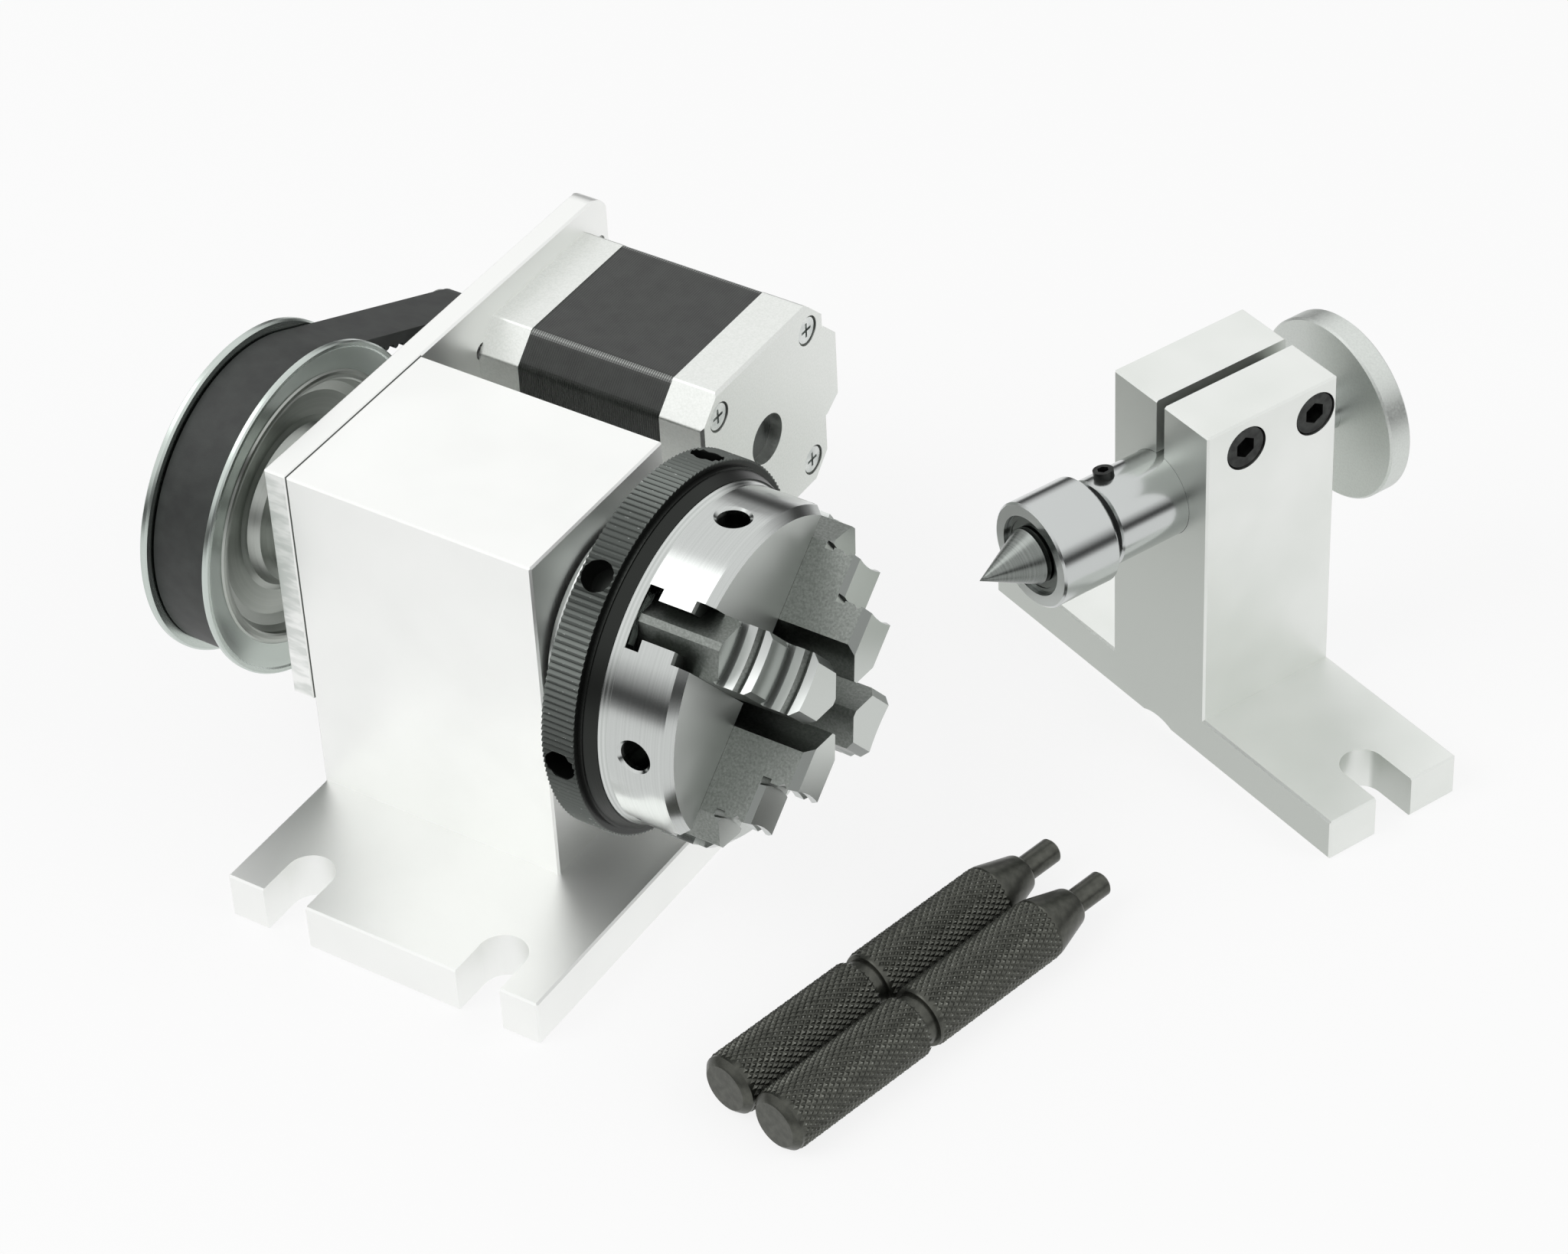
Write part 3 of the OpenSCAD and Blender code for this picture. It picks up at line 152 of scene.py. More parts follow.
def milled_aluminium(name, bright, dull, roughness, origin=(0, 0, 0), turn=0.0, shaded_way=(0, 0, 0)):
    """Milled and blasted aluminium: a fine even grain and soft clouds some 20 mm across.

    A face that looks along the given way is painted greyer than the others, as painted shade.
    """
    made, tree, shader = new_material(name, 1.0, roughness)
    where = placed(tree, origin, turn)
    clouds = add(tree, "ShaderNodeTexNoise", {"Vector": where, "Scale": CLOUDS_PER_MM, "Detail": 2.0})
    grain = add(tree, "ShaderNodeTexNoise", {"Vector": where, "Scale": BLAST_GRAINS_PER_MM, "Detail": 3.0})
    blasted = blend(tree, clouds.outputs["Fac"], dull, bright, 0.3, 0.7)
    facing = add(tree, "ShaderNodeTexCoord")
    toward = add(tree, "ShaderNodeVectorMath", {0: facing.outputs["Normal"], 1: shaded_way},
                 operation="DOT_PRODUCT")
    # Painted shade: the face that looks along the given way is made greyer.
    facing_tone = blend(tree, toward.outputs["Value"], blasted, PAINTED_SHADE_FACE, 0.85, 0.95)
    rough = add(tree, "ShaderNodeMapRange", {"Value": grain.outputs["Fac"], "From Min": 0.3, "From Max": 0.7,
                                             "To Min": roughness - 0.03, "To Max": roughness + 0.03})
    fine = add(tree, "ShaderNodeBump", {"Height": grain.outputs["Fac"], "Strength": 0.2,
                                        "Distance": 0.01 * MM})
    # Painted shade: a thin dark line along the seam where the drive plate meets the block.
    wire(shader, {"Base Color": blend(tree, near_seam(tree, placed(tree)), facing_tone, SEAM_PAINTED_SHADE),
                  "Roughness": rough.outputs[0], "Normal": fine.outputs[0]})
    return made


dress(milled_aluminium("milled_aluminium_block", "#fbfcfa", "#f7f8f6", 0.44), "headstock_block")

# Drive plate
#
# A flat plate of the same aluminium, screwed to the block's side. Its narrow edges show the
# chatter of the end mill as fine level lines.

CHATTER_PER_MM = (0.16, 0.16, 0.55)


def chattered_plate(name):
    """Blasted aluminium as on the block, with short grey strokes on the two narrow edges."""
    made, tree, shader = new_material(name, 1.0, 0.4)
    where = placed(tree)
    grain = add(tree, "ShaderNodeTexNoise", {"Vector": where, "Scale": BLAST_GRAINS_PER_MM, "Detail": 3.0})
    ends = add(tree, "ShaderNodeMath", {0: looks(tree)[1]}, operation="ABSOLUTE")
    on_edge = add(tree, "ShaderNodeMapRange", {"Value": ends.outputs[0], "From Min": 0.8, "From Max": 0.95})
    drawn = add(tree, "ShaderNodeMapping", {"Vector": where, "Scale": CHATTER_PER_MM})
    chatter = add(tree, "ShaderNodeTexNoise", {"Vector": drawn.outputs[0], "Scale": 1.0, "Detail": 2.0})
    marks = add(tree, "ShaderNodeMapRange", {"Value": chatter.outputs["Fac"], "From Min": 0.6,
                                             "From Max": 0.4})
    shown = add(tree, "ShaderNodeMath", {0: marks.outputs[0], 1: on_edge.outputs[0]}, operation="MULTIPLY")
    worked = blend(tree, shown.outputs[0], "#f8f9f7", "#dde0dd")
    cut = add(tree, "ShaderNodeBump", {"Height": shown.outputs[0], "Strength": 0.4, "Distance": 0.05 * MM})
    fine = add(tree, "ShaderNodeBump", {"Height": grain.outputs["Fac"], "Strength": 0.2,
                                        "Distance": 0.01 * MM, "Normal": cut.outputs[0]})
    # Painted shade: the same thin dark line along the seam, on the plate's side.
    wire(shader, {"Base Color": blend(tree, near_seam(tree, where), worked, SEAM_PAINTED_SHADE),
                  "Normal": fine.outputs[0]})
    return made


dress(chattered_plate("milled_aluminium_plate"), "drive_plate")

# Screws and other small black pieces
#
# Socket-head screws, grub screws, the nut and the spring ring: steel with a black oxide finish,
# which is a thin dark skin with a dull sheen.


def black_oxide(name, dark, light, roughness):
    """Black oxide on steel: a thin dark skin with a dull metal sheen and slightly grey patches."""
    made, tree, shader = new_material(name, 0.85, roughness)
    where = placed(tree)
    patches = add(tree, "ShaderNodeTexNoise", {"Vector": where, "Scale": 0.6, "Detail": 5.0})
    grain = add(tree, "ShaderNodeTexNoise", {"Vector": where, "Scale": 6.0, "Detail": 2.0})
    bump = add(tree, "ShaderNodeBump", {"Height": grain.outputs["Fac"], "Strength": 0.3,
                                        "Distance": 0.02 * MM})
    wire(shader, {"Base Color": blend(tree, patches.outputs["Fac"], dark, light, 0.35, 0.7),
                  "Normal": bump.outputs[0]})
    return made


dress(black_oxide("black_oxide_screws", "#2a2b2a", "#424442", 0.36), "plate_screws", "motor_mount_screws",
      "bearing_circlip", "spindle_nut", "backplate_screws", "chuck_screws", "motor_pulley_screw",
      "clamp_screws", "quill_set_screw", "handwheel_screw")

# Motor
#
# A stepper motor: two die-cast aluminium caps, machined on their faces, a stack of thin black
# steel sheets between them, four long zinc screws and an ivory plug socket.

SHEET_MM = 0.5
ONE_WAVE = 0.314
FLOW_SHADE = 0.88


def cast_aluminium(name, bright, dull, roughness):
    """Die-cast aluminium: a fine leathery skin, about 0.4 mm from bump to bump."""
    made, tree, shader = new_material(name, 1.0, roughness)
    grain = add(tree, "ShaderNodeTexNoise", {"Vector": placed(tree), "Scale": 2.4, "Detail": 4.0})
    rough = add(tree, "ShaderNodeMapRange", {"Value": grain.outputs["Fac"], "From Min": 0.3, "From Max": 0.7,
                                             "To Min": roughness - 0.05, "To Max": roughness + 0.05})
    bump = add(tree, "ShaderNodeBump", {"Height": grain.outputs["Fac"], "Strength": 0.3,
                                        "Distance": 0.04 * MM})
    wire(shader, {"Base Color": blend(tree, grain.outputs["Fac"], dull, bright, 0.3, 0.7),
                  "Roughness": rough.outputs[0], "Normal": bump.outputs[0]})
    return made


def laminations(name):
    """Black lacquered sheets, SHEET_MM thick, so a fine line runs round the stack for each of them.

    At a Scale of ONE_WAVE the Wave texture has one line in a millimetre. On the stack's rounded
    corners the sheets turn partly metallic, and a narrow bright stripe there is a painted highlight.
    """
    made, tree, shader = new_material(name, 0.0, 0.24)
    where = placed(tree)
    flat = add(tree, "ShaderNodeMath", {0: looks(tree)[1]}, operation="ABSOLUTE")
    off_flat = add(tree, "ShaderNodeMapRange", {"Value": flat.outputs[0], "From Min": 0.08, "From Max": 0.22})
    before_slant = add(tree, "ShaderNodeMapRange", {"Value": flat.outputs[0], "From Min": 0.6,
                                                    "From Max": 0.4})
    corner = add(tree, "ShaderNodeMath", {0: off_flat.outputs[0], 1: before_slant.outputs[0]},
                 operation="MULTIPLY")
    sheets = add(tree, "ShaderNodeTexWave", {"Vector": where, "Scale": ONE_WAVE / SHEET_MM,
                                             "Distortion": 0.15, "Detail": 1.0},
                 bands_direction="X", wave_profile="TRI")
    patches = add(tree, "ShaderNodeTexNoise", {"Vector": where, "Scale": 0.3, "Detail": 4.0})
    level = add(tree, "ShaderNodeMath", {0: sheets.outputs["Fac"], 1: 0.6, 2: patches.outputs["Fac"]},
                operation="MULTIPLY_ADD")
    lacquer = blend(tree, level.outputs[0], "#171917", "#303330", 0.45, 1.0)
    # Painted highlight: a narrow bright stripe along the stack's rounded corners, which also turn partly
    # metallic.
    highlight_stripe = add(tree, "ShaderNodeMath", {0: corner.outputs[0], 1: sheets.outputs["Fac"]}, operation="MULTIPLY")
    steel = add(tree, "ShaderNodeMapRange", {"Value": highlight_stripe.outputs[0], "To Min": 0.0, "To Max": 0.5})
    bump = add(tree, "ShaderNodeBump", {"Height": sheets.outputs["Fac"], "Strength": 0.5,
                                        "Distance": 0.05 * MM})
    wire(shader, {"Base Color": blend(tree, highlight_stripe.outputs[0], lacquer, "#a0a3a0"),
                  "Metallic": steel.outputs[0], "Normal": bump.outputs[0]})
    return made


def zinc_plate(name, bright, dull, roughness):
    """Zinc-plated steel: pale blue-grey, with a soft crystal mottle."""
    made, tree, shader = new_material(name, 1.0, roughness)
    mottle = add(tree, "ShaderNodeTexNoise", {"Vector": placed(tree), "Scale": 0.5, "Detail": 4.0})
    rough = add(tree, "ShaderNodeMapRange", {"Value": mottle.outputs["Fac"], "From Min": 0.3, "From Max": 0.7,
                                             "To Min": roughness + 0.05, "To Max": roughness - 0.04})
    wire(shader, {"Base Color": blend(tree, mottle.outputs["Fac"], dull, bright, 0.35, 0.65),
                  "Roughness": rough.outputs[0]})
    return made


def moulded_plastic(name, colour_hex, roughness):
    """Injection-moulded plastic: even colour, with the faintest flow marks in the skin."""
    made, tree, shader = new_material(name, 0.0, roughness)
    flow = add(tree, "ShaderNodeTexNoise", {"Vector": placed(tree), "Scale": 0.4, "Detail": 2.0})
    darker = [part * FLOW_SHADE for part in linear(colour_hex)[:3]] + [1.0]
    bump = add(tree, "ShaderNodeBump", {"Height": flow.outputs["Fac"], "Strength": 0.2,
                                        "Distance": 0.05 * MM})
    wire(shader, {"Base Color": blend(tree, flow.outputs["Fac"], darker, colour_hex),
                  "Normal": bump.outputs[0]})
    return made


dress(cast_aluminium("cast_aluminium_caps", "#eff1ee", "#e2e5e1", 0.38), "motor_front_cap", "motor_rear_cap")
dress(laminations("lacquered_laminations"), "motor_stack")
dress(zinc_plate("zinc_screws", "#e2e5e3", "#cdd1cf", 0.28), "motor_case_screws", "motor_rotor")
dress(moulded_plastic("ivory_nylon", "#e9e4d2", 0.45), "motor_plug_socket")

# Spindle, bearings and plain turned steel
#
# Bright steel turned on a lathe: the tool leaves fine rings round the axis, so the surface is
# slightly striped and its faces look like a record. The motor's shaft and bearings are darker.

joints = {joint["name"]: joint for joint in frame["joints"]}
SPINDLE_AXIS = (0, 0, joints["spindle_spin"]["pos_m"][2])


def around_axis(tree, where):
    """Distance along the local X axis, and distance from it, in millimetres."""
    along = add(tree, "ShaderNodeSeparateXYZ", {0: where})
    flat = add(tree, "ShaderNodeVectorMath", {0: where, 1: (0, 1, 1)}, operation="MULTIPLY")
    radius = add(tree, "ShaderNodeVectorMath", {0: flat.outputs[0]}, operation="LENGTH")
    return along.outputs[0], radius.outputs["Value"]


def tool_rings(tree, along, radius, per_mm, detail):
    """Rings round a turned piece, which run on across its end faces as the lathe tool did."""
    path = add(tree, "ShaderNodeMath", {0: along, 1: radius}, operation="SUBTRACT")
    rings = add(tree, "ShaderNodeTexNoise", {"W": path.outputs[0], "Scale": per_mm, "Detail": detail},
                noise_dimensions="1D")
    return rings.outputs["Fac"]


def turned_steel(name, bright, dull, roughness, origin=SPINDLE_AXIS, turn=0.0, ring_mm=0.5, depth_mm=0.004):
    """Turned metal: rings round the local X axis through origin, ring_mm apart on average."""
    made, tree, shader = new_material(name, 1.0, roughness)
    along, radius = around_axis(tree, placed(tree, origin, turn))
    rings = tool_rings(tree, along, radius, 1 / ring_mm, 3.0)
    rough = add(tree, "ShaderNodeMapRange", {"Value": rings, "From Min": 0.3, "From Max": 0.7,
                                             "To Min": roughness - 0.03, "To Max": roughness + 0.04})
    bump = add(tree, "ShaderNodeBump", {"Height": rings, "Strength": 0.5, "Distance": depth_mm * MM})
    wire(shader, {"Base Color": blend(tree, rings, dull, bright, 0.3, 0.7), "Roughness": rough.outputs[0],
                  "Normal": bump.outputs[0]})
    return made


dress(turned_steel("turned_steel_spindle", "#cfd2d0", "#b9bdba", 0.24), "spindle", "bearing_spacer")
dress(turned_steel("ground_bearing_steel", "#d6d9d7", "#c4c8c6", 0.14, ring_mm=0.3), "bearing_outer_races",
      "bearing_inner_races", "bearing_balls")
dress(turned_steel("dark_bearing_steel", "#5a5d5b", "#474a48", 0.3, ring_mm=0.3), "motor_bearings",
      "motor_shaft")

# Pulleys
#
# The toothed pulleys are turned aluminium, dull grey. Two zinc-plated rings with a raised rim
# keep the belt on the large one.

dress(turned_steel("turned_aluminium_pulley", "#bcc0bb", "#b0b4af", 0.34, ring_mm=0.9, depth_mm=0.002),
      "drive_pulley", "motor_pulley")
dress(turned_steel("zinc_flange", "#cbd3ce", "#c0c8c3", 0.24, ring_mm=1.6, depth_mm=0.002),
      "pulley_flange_near", "pulley_flange_far")

# Timing belt
#
# Matte black rubber, moulded in one piece with a smooth back and teeth inside. It runs round both
# pulleys, and a little dust greys it.


def belt_rubber(name):
    """Matte rubber: near black, with dust in soft grey patches and a fine dull grain."""
    made, tree, shader = new_material(name, 0.0, 0.55)
    where = placed(tree)
    dust = add(tree, "ShaderNodeTexNoise", {"Vector": where, "Scale": 0.25, "Detail": 6.0})
    grain = add(tree, "ShaderNodeTexNoise", {"Vector": where, "Scale": 3.5, "Detail": 2.0})
    bump = add(tree, "ShaderNodeBump", {"Height": grain.outputs["Fac"], "Strength": 0.35,
                                        "Distance": 0.05 * MM})
    wire(shader, {"Base Color": blend(tree, dust.outputs["Fac"], "#2b2d2c", "#383b39", 0.35, 0.75),
                  "Normal": bump.outputs[0]})
    return made


dress(belt_rubber("belt_rubber"), "timing_belt")

# Chuck
#
# The body is hardened steel, ground and polished on its rim and turned on its face, with painted
# shade inside its holes and jaw ways. The scroll behind it shows as a bright bevelled ring.

body_low, body_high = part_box("chuck_body")
CHUCK_R_MM = (body_high - body_low)[2] / 2 / MM
CHUCK_FACE_MM = body_high[0] / MM
SHADE_START_MM = 1.2
SHADE_FULL_MM = 1.6


def ground_chuck_steel(name):
    """A polished rim and a satin face, bright just below them and with painted shade further in."""
    made, tree, shader = new_material(name, 1.0, 0.2)
    along, radius = around_axis(tree, placed(tree, SPINDLE_AXIS))
    on_face = add(tree, "ShaderNodeMapRange", {"Value": looks(tree)[0], "From Min": 0.8, "From Max": 0.97})
    under_rim = add(tree, "ShaderNodeMath", {0: CHUCK_R_MM, 1: radius}, operation="SUBTRACT")
    behind_face = add(tree, "ShaderNodeMath", {0: CHUCK_FACE_MM, 1: along}, operation="SUBTRACT")
    depth = add(tree, "ShaderNodeMath", {0: under_rim.outputs[0], 1: behind_face.outputs[0]},
                operation="MINIMUM")
    rings = tool_rings(tree, along, radius, 2.2, 3.0)
    rim = blend(tree, rings, "#bfc2c0", "#c6c9c7", 0.3, 0.7)
    bright = blend(tree, on_face.outputs[0], rim, "#e0e3e0")
    # Painted shade: darker more than about a millimetre inside the holes and jaw ways.
    colour = blend(tree, depth.outputs[0], bright, "#6a6d6a", SHADE_START_MM, SHADE_FULL_MM)
    rough = add(tree, "ShaderNodeMapRange", {"Value": on_face.outputs[0], "To Min": 0.17, "To Max": 0.42})
    bump = add(tree, "ShaderNodeBump", {"Height": rings, "Strength": 0.15, "Distance": 0.002 * MM})
    wire(shader, {"Base Color": colour, "Roughness": rough.outputs[0], "Normal": bump.outputs[0]})
    return made


dress(ground_chuck_steel("ground_chuck_steel"), "chuck_body")
dress(turned_steel("turned_scroll_steel", "#d0d3d1", "#bbbfbc", 0.2), "scroll_plate", "chuck_backplate")

# Knurled ring
#
# Black oxide steel. The straight knurl's crests are worn grey, and bright specks on them are partly
# bare steel and partly a painted highlight.

ring_low, ring_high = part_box("scroll_grip_ring")


def black_ring_wear_and_glints(name, crest_mm):
    """Black in the knurl's valleys, grey on worn crests, and bright specks that are partly wear, partly
    painted highlight.
    """
    made, tree, shader = new_material(name, 0.9, 0.34)
    where = placed(tree, SPINDLE_AXIS)
    along, radius = around_axis(tree, where)
    wear_and_glint = add(tree, "ShaderNodeTexNoise", {"Vector": where, "Scale": 1.6, "Detail": 4.0})
    black = blend(tree, radius, "#303230", "#5d615e", crest_mm - 0.5, crest_mm - 0.2)
    height = add(tree, "ShaderNodeMath", {0: wear_and_glint.outputs["Fac"], 1: 0.5, 2: radius}, operation="MULTIPLY_ADD")
    # Partly wear, partly painted highlight: bright specks on the highest crests.
    colour = blend(tree, height.outputs[0], black, "#b9bdba", crest_mm + 0.29, crest_mm + 0.36)
    bump = add(tree, "ShaderNodeBump", {"Height": tool_rings(tree, along, radius, 1.5, 2.0), "Strength": 0.5,
                                        "Distance": 0.03 * MM})
    wire(shader, {"Base Color": colour, "Normal": bump.outputs[0]})
    return made


dress(black_ring_wear_and_glints("black_oxide_ring_wear_and_glints", (ring_high - ring_low)[2] / 2 / MM), "scroll_grip_ring")

# Jaws
#
# Hardened steel, darkened and lightly pitted by the heat treatment. The fronts are ground smooth,
# the slopes beside them are lighter, and the round risers that grip are turned bright.

RISER_END_MM = 26.6
SHADE_REACH_MM = 1.6


def hardened_steel(name):
    """Pitted grey sides, satin fronts, risers with fine lines, and painted shade deep in the corners."""
    made, tree, shader = new_material(name, 1.0, 0.34)
    where = placed(tree, SPINDLE_AXIS)
    along, radius = around_axis(tree, where)
    flat = add(tree, "ShaderNodeVectorMath", {0: where, 1: (0, 1, 1)}, operation="MULTIPLY")
    outwards = add(tree, "ShaderNodeVectorMath", {0: flat.outputs[0]}, operation="NORMALIZE")
    facing = add(tree, "ShaderNodeTexCoord")
    outward = add(tree, "ShaderNodeVectorMath", {0: facing.outputs["Normal"], 1: outwards.outputs[0]},
                  operation="DOT_PRODUCT")
    gripping = add(tree, "ShaderNodeMapRange", {"Value": outward.outputs["Value"], "From Min": 0.74,
                                                "From Max": 0.8})
    within = add(tree, "ShaderNodeMath", {0: radius, 1: RISER_END_MM}, operation="LESS_THAN")
    riser = add(tree, "ShaderNodeMath", {0: gripping.outputs[0], 1: within.outputs[0]}, operation="MULTIPLY")
    forward = looks(tree)[0]
    front = add(tree, "ShaderNodeMapRange", {"Value": forward, "From Min": 0.9, "From Max": 0.97})
    leaning = add(tree, "ShaderNodeMapRange", {"Value": forward, "From Min": 0.45, "From Max": 0.6})
    turned_out = add(tree, "ShaderNodeMath", {0: outward.outputs["Value"]}, operation="ABSOLUTE")
    sideways = add(tree, "ShaderNodeMapRange", {"Value": turned_out.outputs[0], "From Min": 0.6,
                                                "From Max": 0.5})
    sloped = add(tree, "ShaderNodeMath", {0: leaning.outputs[0], 1: sideways.outputs[0]},
                 operation="MULTIPLY")
    skin = add(tree, "ShaderNodeTexNoise", {"Vector": where, "Scale": 2.2, "Detail": 5.0, "Roughness": 0.6})
    dark = blend(tree, skin.outputs["Fac"], "#727672", "#8e928e", 0.35, 0.7)
    edged = blend(tree, sloped.outputs[0], dark, "#989c99")
    facing_tone = blend(tree, front.outputs[0], edged, "#c3c7c3")
    before_shade = blend(tree, riser.outputs[0], facing_tone, "#c9ccca")
    # Painted shade: ambient occlusion darkens the corners, notches and grooves nearly to black.
    open_air = add(tree, "ShaderNodeAmbientOcclusion", {"Distance": SHADE_REACH_MM * MM}, samples=8,
                   only_local=True)
    colour = blend(tree, open_air.outputs["AO"], before_shade, "#242624", 0.62, 0.4)
    rough = add(tree, "ShaderNodeMapRange", {"Value": front.outputs[0], "To Min": 0.36, "To Max": 0.24})
    tool = add(tree, "ShaderNodeTexNoise", {"W": along, "Scale": 3.5, "Detail": 2.0}, noise_dimensions="1D")
    pits = add(tree, "ShaderNodeTexNoise", {"Vector": where, "Scale": 3.0, "Detail": 3.0})
    relief = add(tree, "ShaderNodeMix", {0: riser.outputs[0], 2: pits.outputs["Fac"], 3: tool.outputs["Fac"]})
    calm = add(tree, "ShaderNodeMapRange", {"Value": front.outputs[0], "To Min": 0.25, "To Max": 0.06})
    bump = add(tree, "ShaderNodeBump", {"Height": relief.outputs[0], "Strength": calm.outputs[0],
                                        "Distance": 0.03 * MM})
    wire(shader, {"Base Color": colour, "Roughness": rough.outputs[0], "Normal": bump.outputs[0]})
    return made


dress(hardened_steel("hardened_jaw_steel"), "jaw_1", "jaw_2", "jaw_3", "jaw_4")

# Tailstock
#
# A second milled aluminium block with a slotted base, split at the top so that two screws close
# it on the quill. It is slightly duller than the headstock, and the face round the quill has painted shade.

tip_way = Vector(joints["quill_feed"]["axis"])
tail_turn = math.atan2(-tip_way.y, -tip_way.x)
tail_origin = tuple(joints["handwheel_spin"]["pos_m"])
dress(milled_aluminium("milled_aluminium_tailstock", "#eef0ed", "#e5e8e4", 0.4, tail_origin, tail_turn,
                       tuple(tip_way)), "tailstock_body")

# Quill and live centre
#
# Chromed and ground steel, with a dark ring in the neck, an open bearing and a turned cone that
# is left dark from hardening.

dress(turned_steel("ground_quill_steel", "#c6c9c8", "#c1c4c3", 0.17, tail_origin, tail_turn, 0.12, 0.0003),
      "quill", "live_centre_housing", "feed_screw")
dress(turned_steel("live_bearing_steel", "#6f7370", "#575b58", 0.2, tail_origin, tail_turn, 0.3),
      "live_outer_race", "live_inner_race", "live_balls", "live_shield")
dress(turned_steel("dark_turned_cone", "#858986", "#737774", 0.28, tail_origin, tail_turn, 0.2, 0.003),
      "centre_point")
dress(moulded_plastic("neck_rubber", "#1d1e1d", 0.5), "live_centre_seal_ring")

# Handwheel
#
# A plain aluminium disc, turned and then tumbled, which leaves a fine skin. One screw holds it on
# the feed screw.

dress(cast_aluminium("tumbled_aluminium_wheel", "#dadeda", "#cdd1cd", 0.4), "handwheel")

# Tommy bars
#
# Turned steel bars with a diamond knurl rolled into the grip, a plain groove, a taper and a pin,
# all under a charcoal black oxide. The knurl's points are lighter, partly as wear and partly as a painted
# highlight.

BAR_R = 6.2 * MM
BAR_ROOT_R = 5.93 * MM
BAR_L = 85.5 * MM
PIN_R = 2.5 * MM
PIN_START = 77.0 * MM
TAPER_START = 68.5 * MM
TAPER_EASE = 0.6 * MM
GROOVE_START = 33.8 * MM
GROOVE_END = 36.4 * MM
GROOVE_R = BAR_R - 1.1 * MM
GROOVE_EDGE = 0.3 * MM
GROOVE_EDGE_R = BAR_ROOT_R - 0.15 * MM
KNURL_START = 1.5 * MM
KNURL_GAP = 0.4 * MM
KNURL_SINK = 0.05 * MM
POINT_LIGHT_START_MM = 6.27
POINT_LIGHT_FULL_MM = 6.36
TURNING_STEPS = 96
BAR_TURN = math.radians(77.1)
BAR_BUTTS = {"tommy_bar_1": (0.0, 0.0), "tommy_bar_2": (-0.4 * MM, -12.9 * MM)}
BAR_PLACE = Matrix.Translation((73.7 * MM, -49.7 * MM, BAR_R)) @ Matrix.Rotation(BAR_TURN, 4, "Z")
BAR_PROFILE = [
    (0.0, 0.0), (0.0, 4.6 * MM), (0.25 * MM, 5.0 * MM), (1.2 * MM, BAR_ROOT_R),
    (GROOVE_START - GROOVE_EDGE, BAR_ROOT_R), (GROOVE_START, GROOVE_EDGE_R), (GROOVE_START, GROOVE_R),
    (GROOVE_END, GROOVE_R), (GROOVE_END, GROOVE_EDGE_R), (GROOVE_END + GROOVE_EDGE, BAR_ROOT_R),
    (TAPER_START - TAPER_EASE, BAR_ROOT_R), (TAPER_START - 0.3 * MM, 6.1 * MM),
    (TAPER_START + 0.5 * MM, 6.0 * MM), (PIN_START - 0.6 * MM, 3.9 * MM), (PIN_START - 0.2 * MM, 3.7 * MM),
    (PIN_START, 3.5 * MM), (PIN_START, PIN_R), (BAR_L - 0.4 * MM, PIN_R), (BAR_L, PIN_R - 0.4 * MM),
    (BAR_L, 0.0),
]
GRIPS = ((KNURL_START, GROOVE_START - KNURL_GAP), (GROOVE_END + KNURL_GAP, TAPER_START - TAPER_EASE))


def revolved(name, profile, steps):
    """A closed mesh turned round the X axis from [x, radius] points that start and end on it."""
    points = [(profile[0][0], 0.0, 0.0)]
    faces = []
    for x, r in profile[1:-1]:
        points += [(x, r * math.cos(2 * math.pi * k / steps), r * math.sin(2 * math.pi * k / steps))
                   for k in range(steps)]
    points.append((profile[-1][0], 0.0, 0.0))
    rings = len(profile) - 2
    last = 1 + (rings - 1) * steps
    for k in range(steps):
        after = (k + 1) % steps
        faces.append((0, 1 + after, 1 + k))
        for ring in range(rings - 1):
            low, high = 1 + ring * steps, 1 + (ring + 1) * steps
            faces.append((low + k, low + after, high + after, high + k))
        faces.append((last + k, last + after, len(points) - 1))
    made = bpy.data.meshes.new(name)
    made.from_pydata(points, [], faces)
    made.validate()
    for face in made.polygons:
        face.use_smooth = True
    made.set_sharp_from_angle(angle=math.radians(25))
    return made


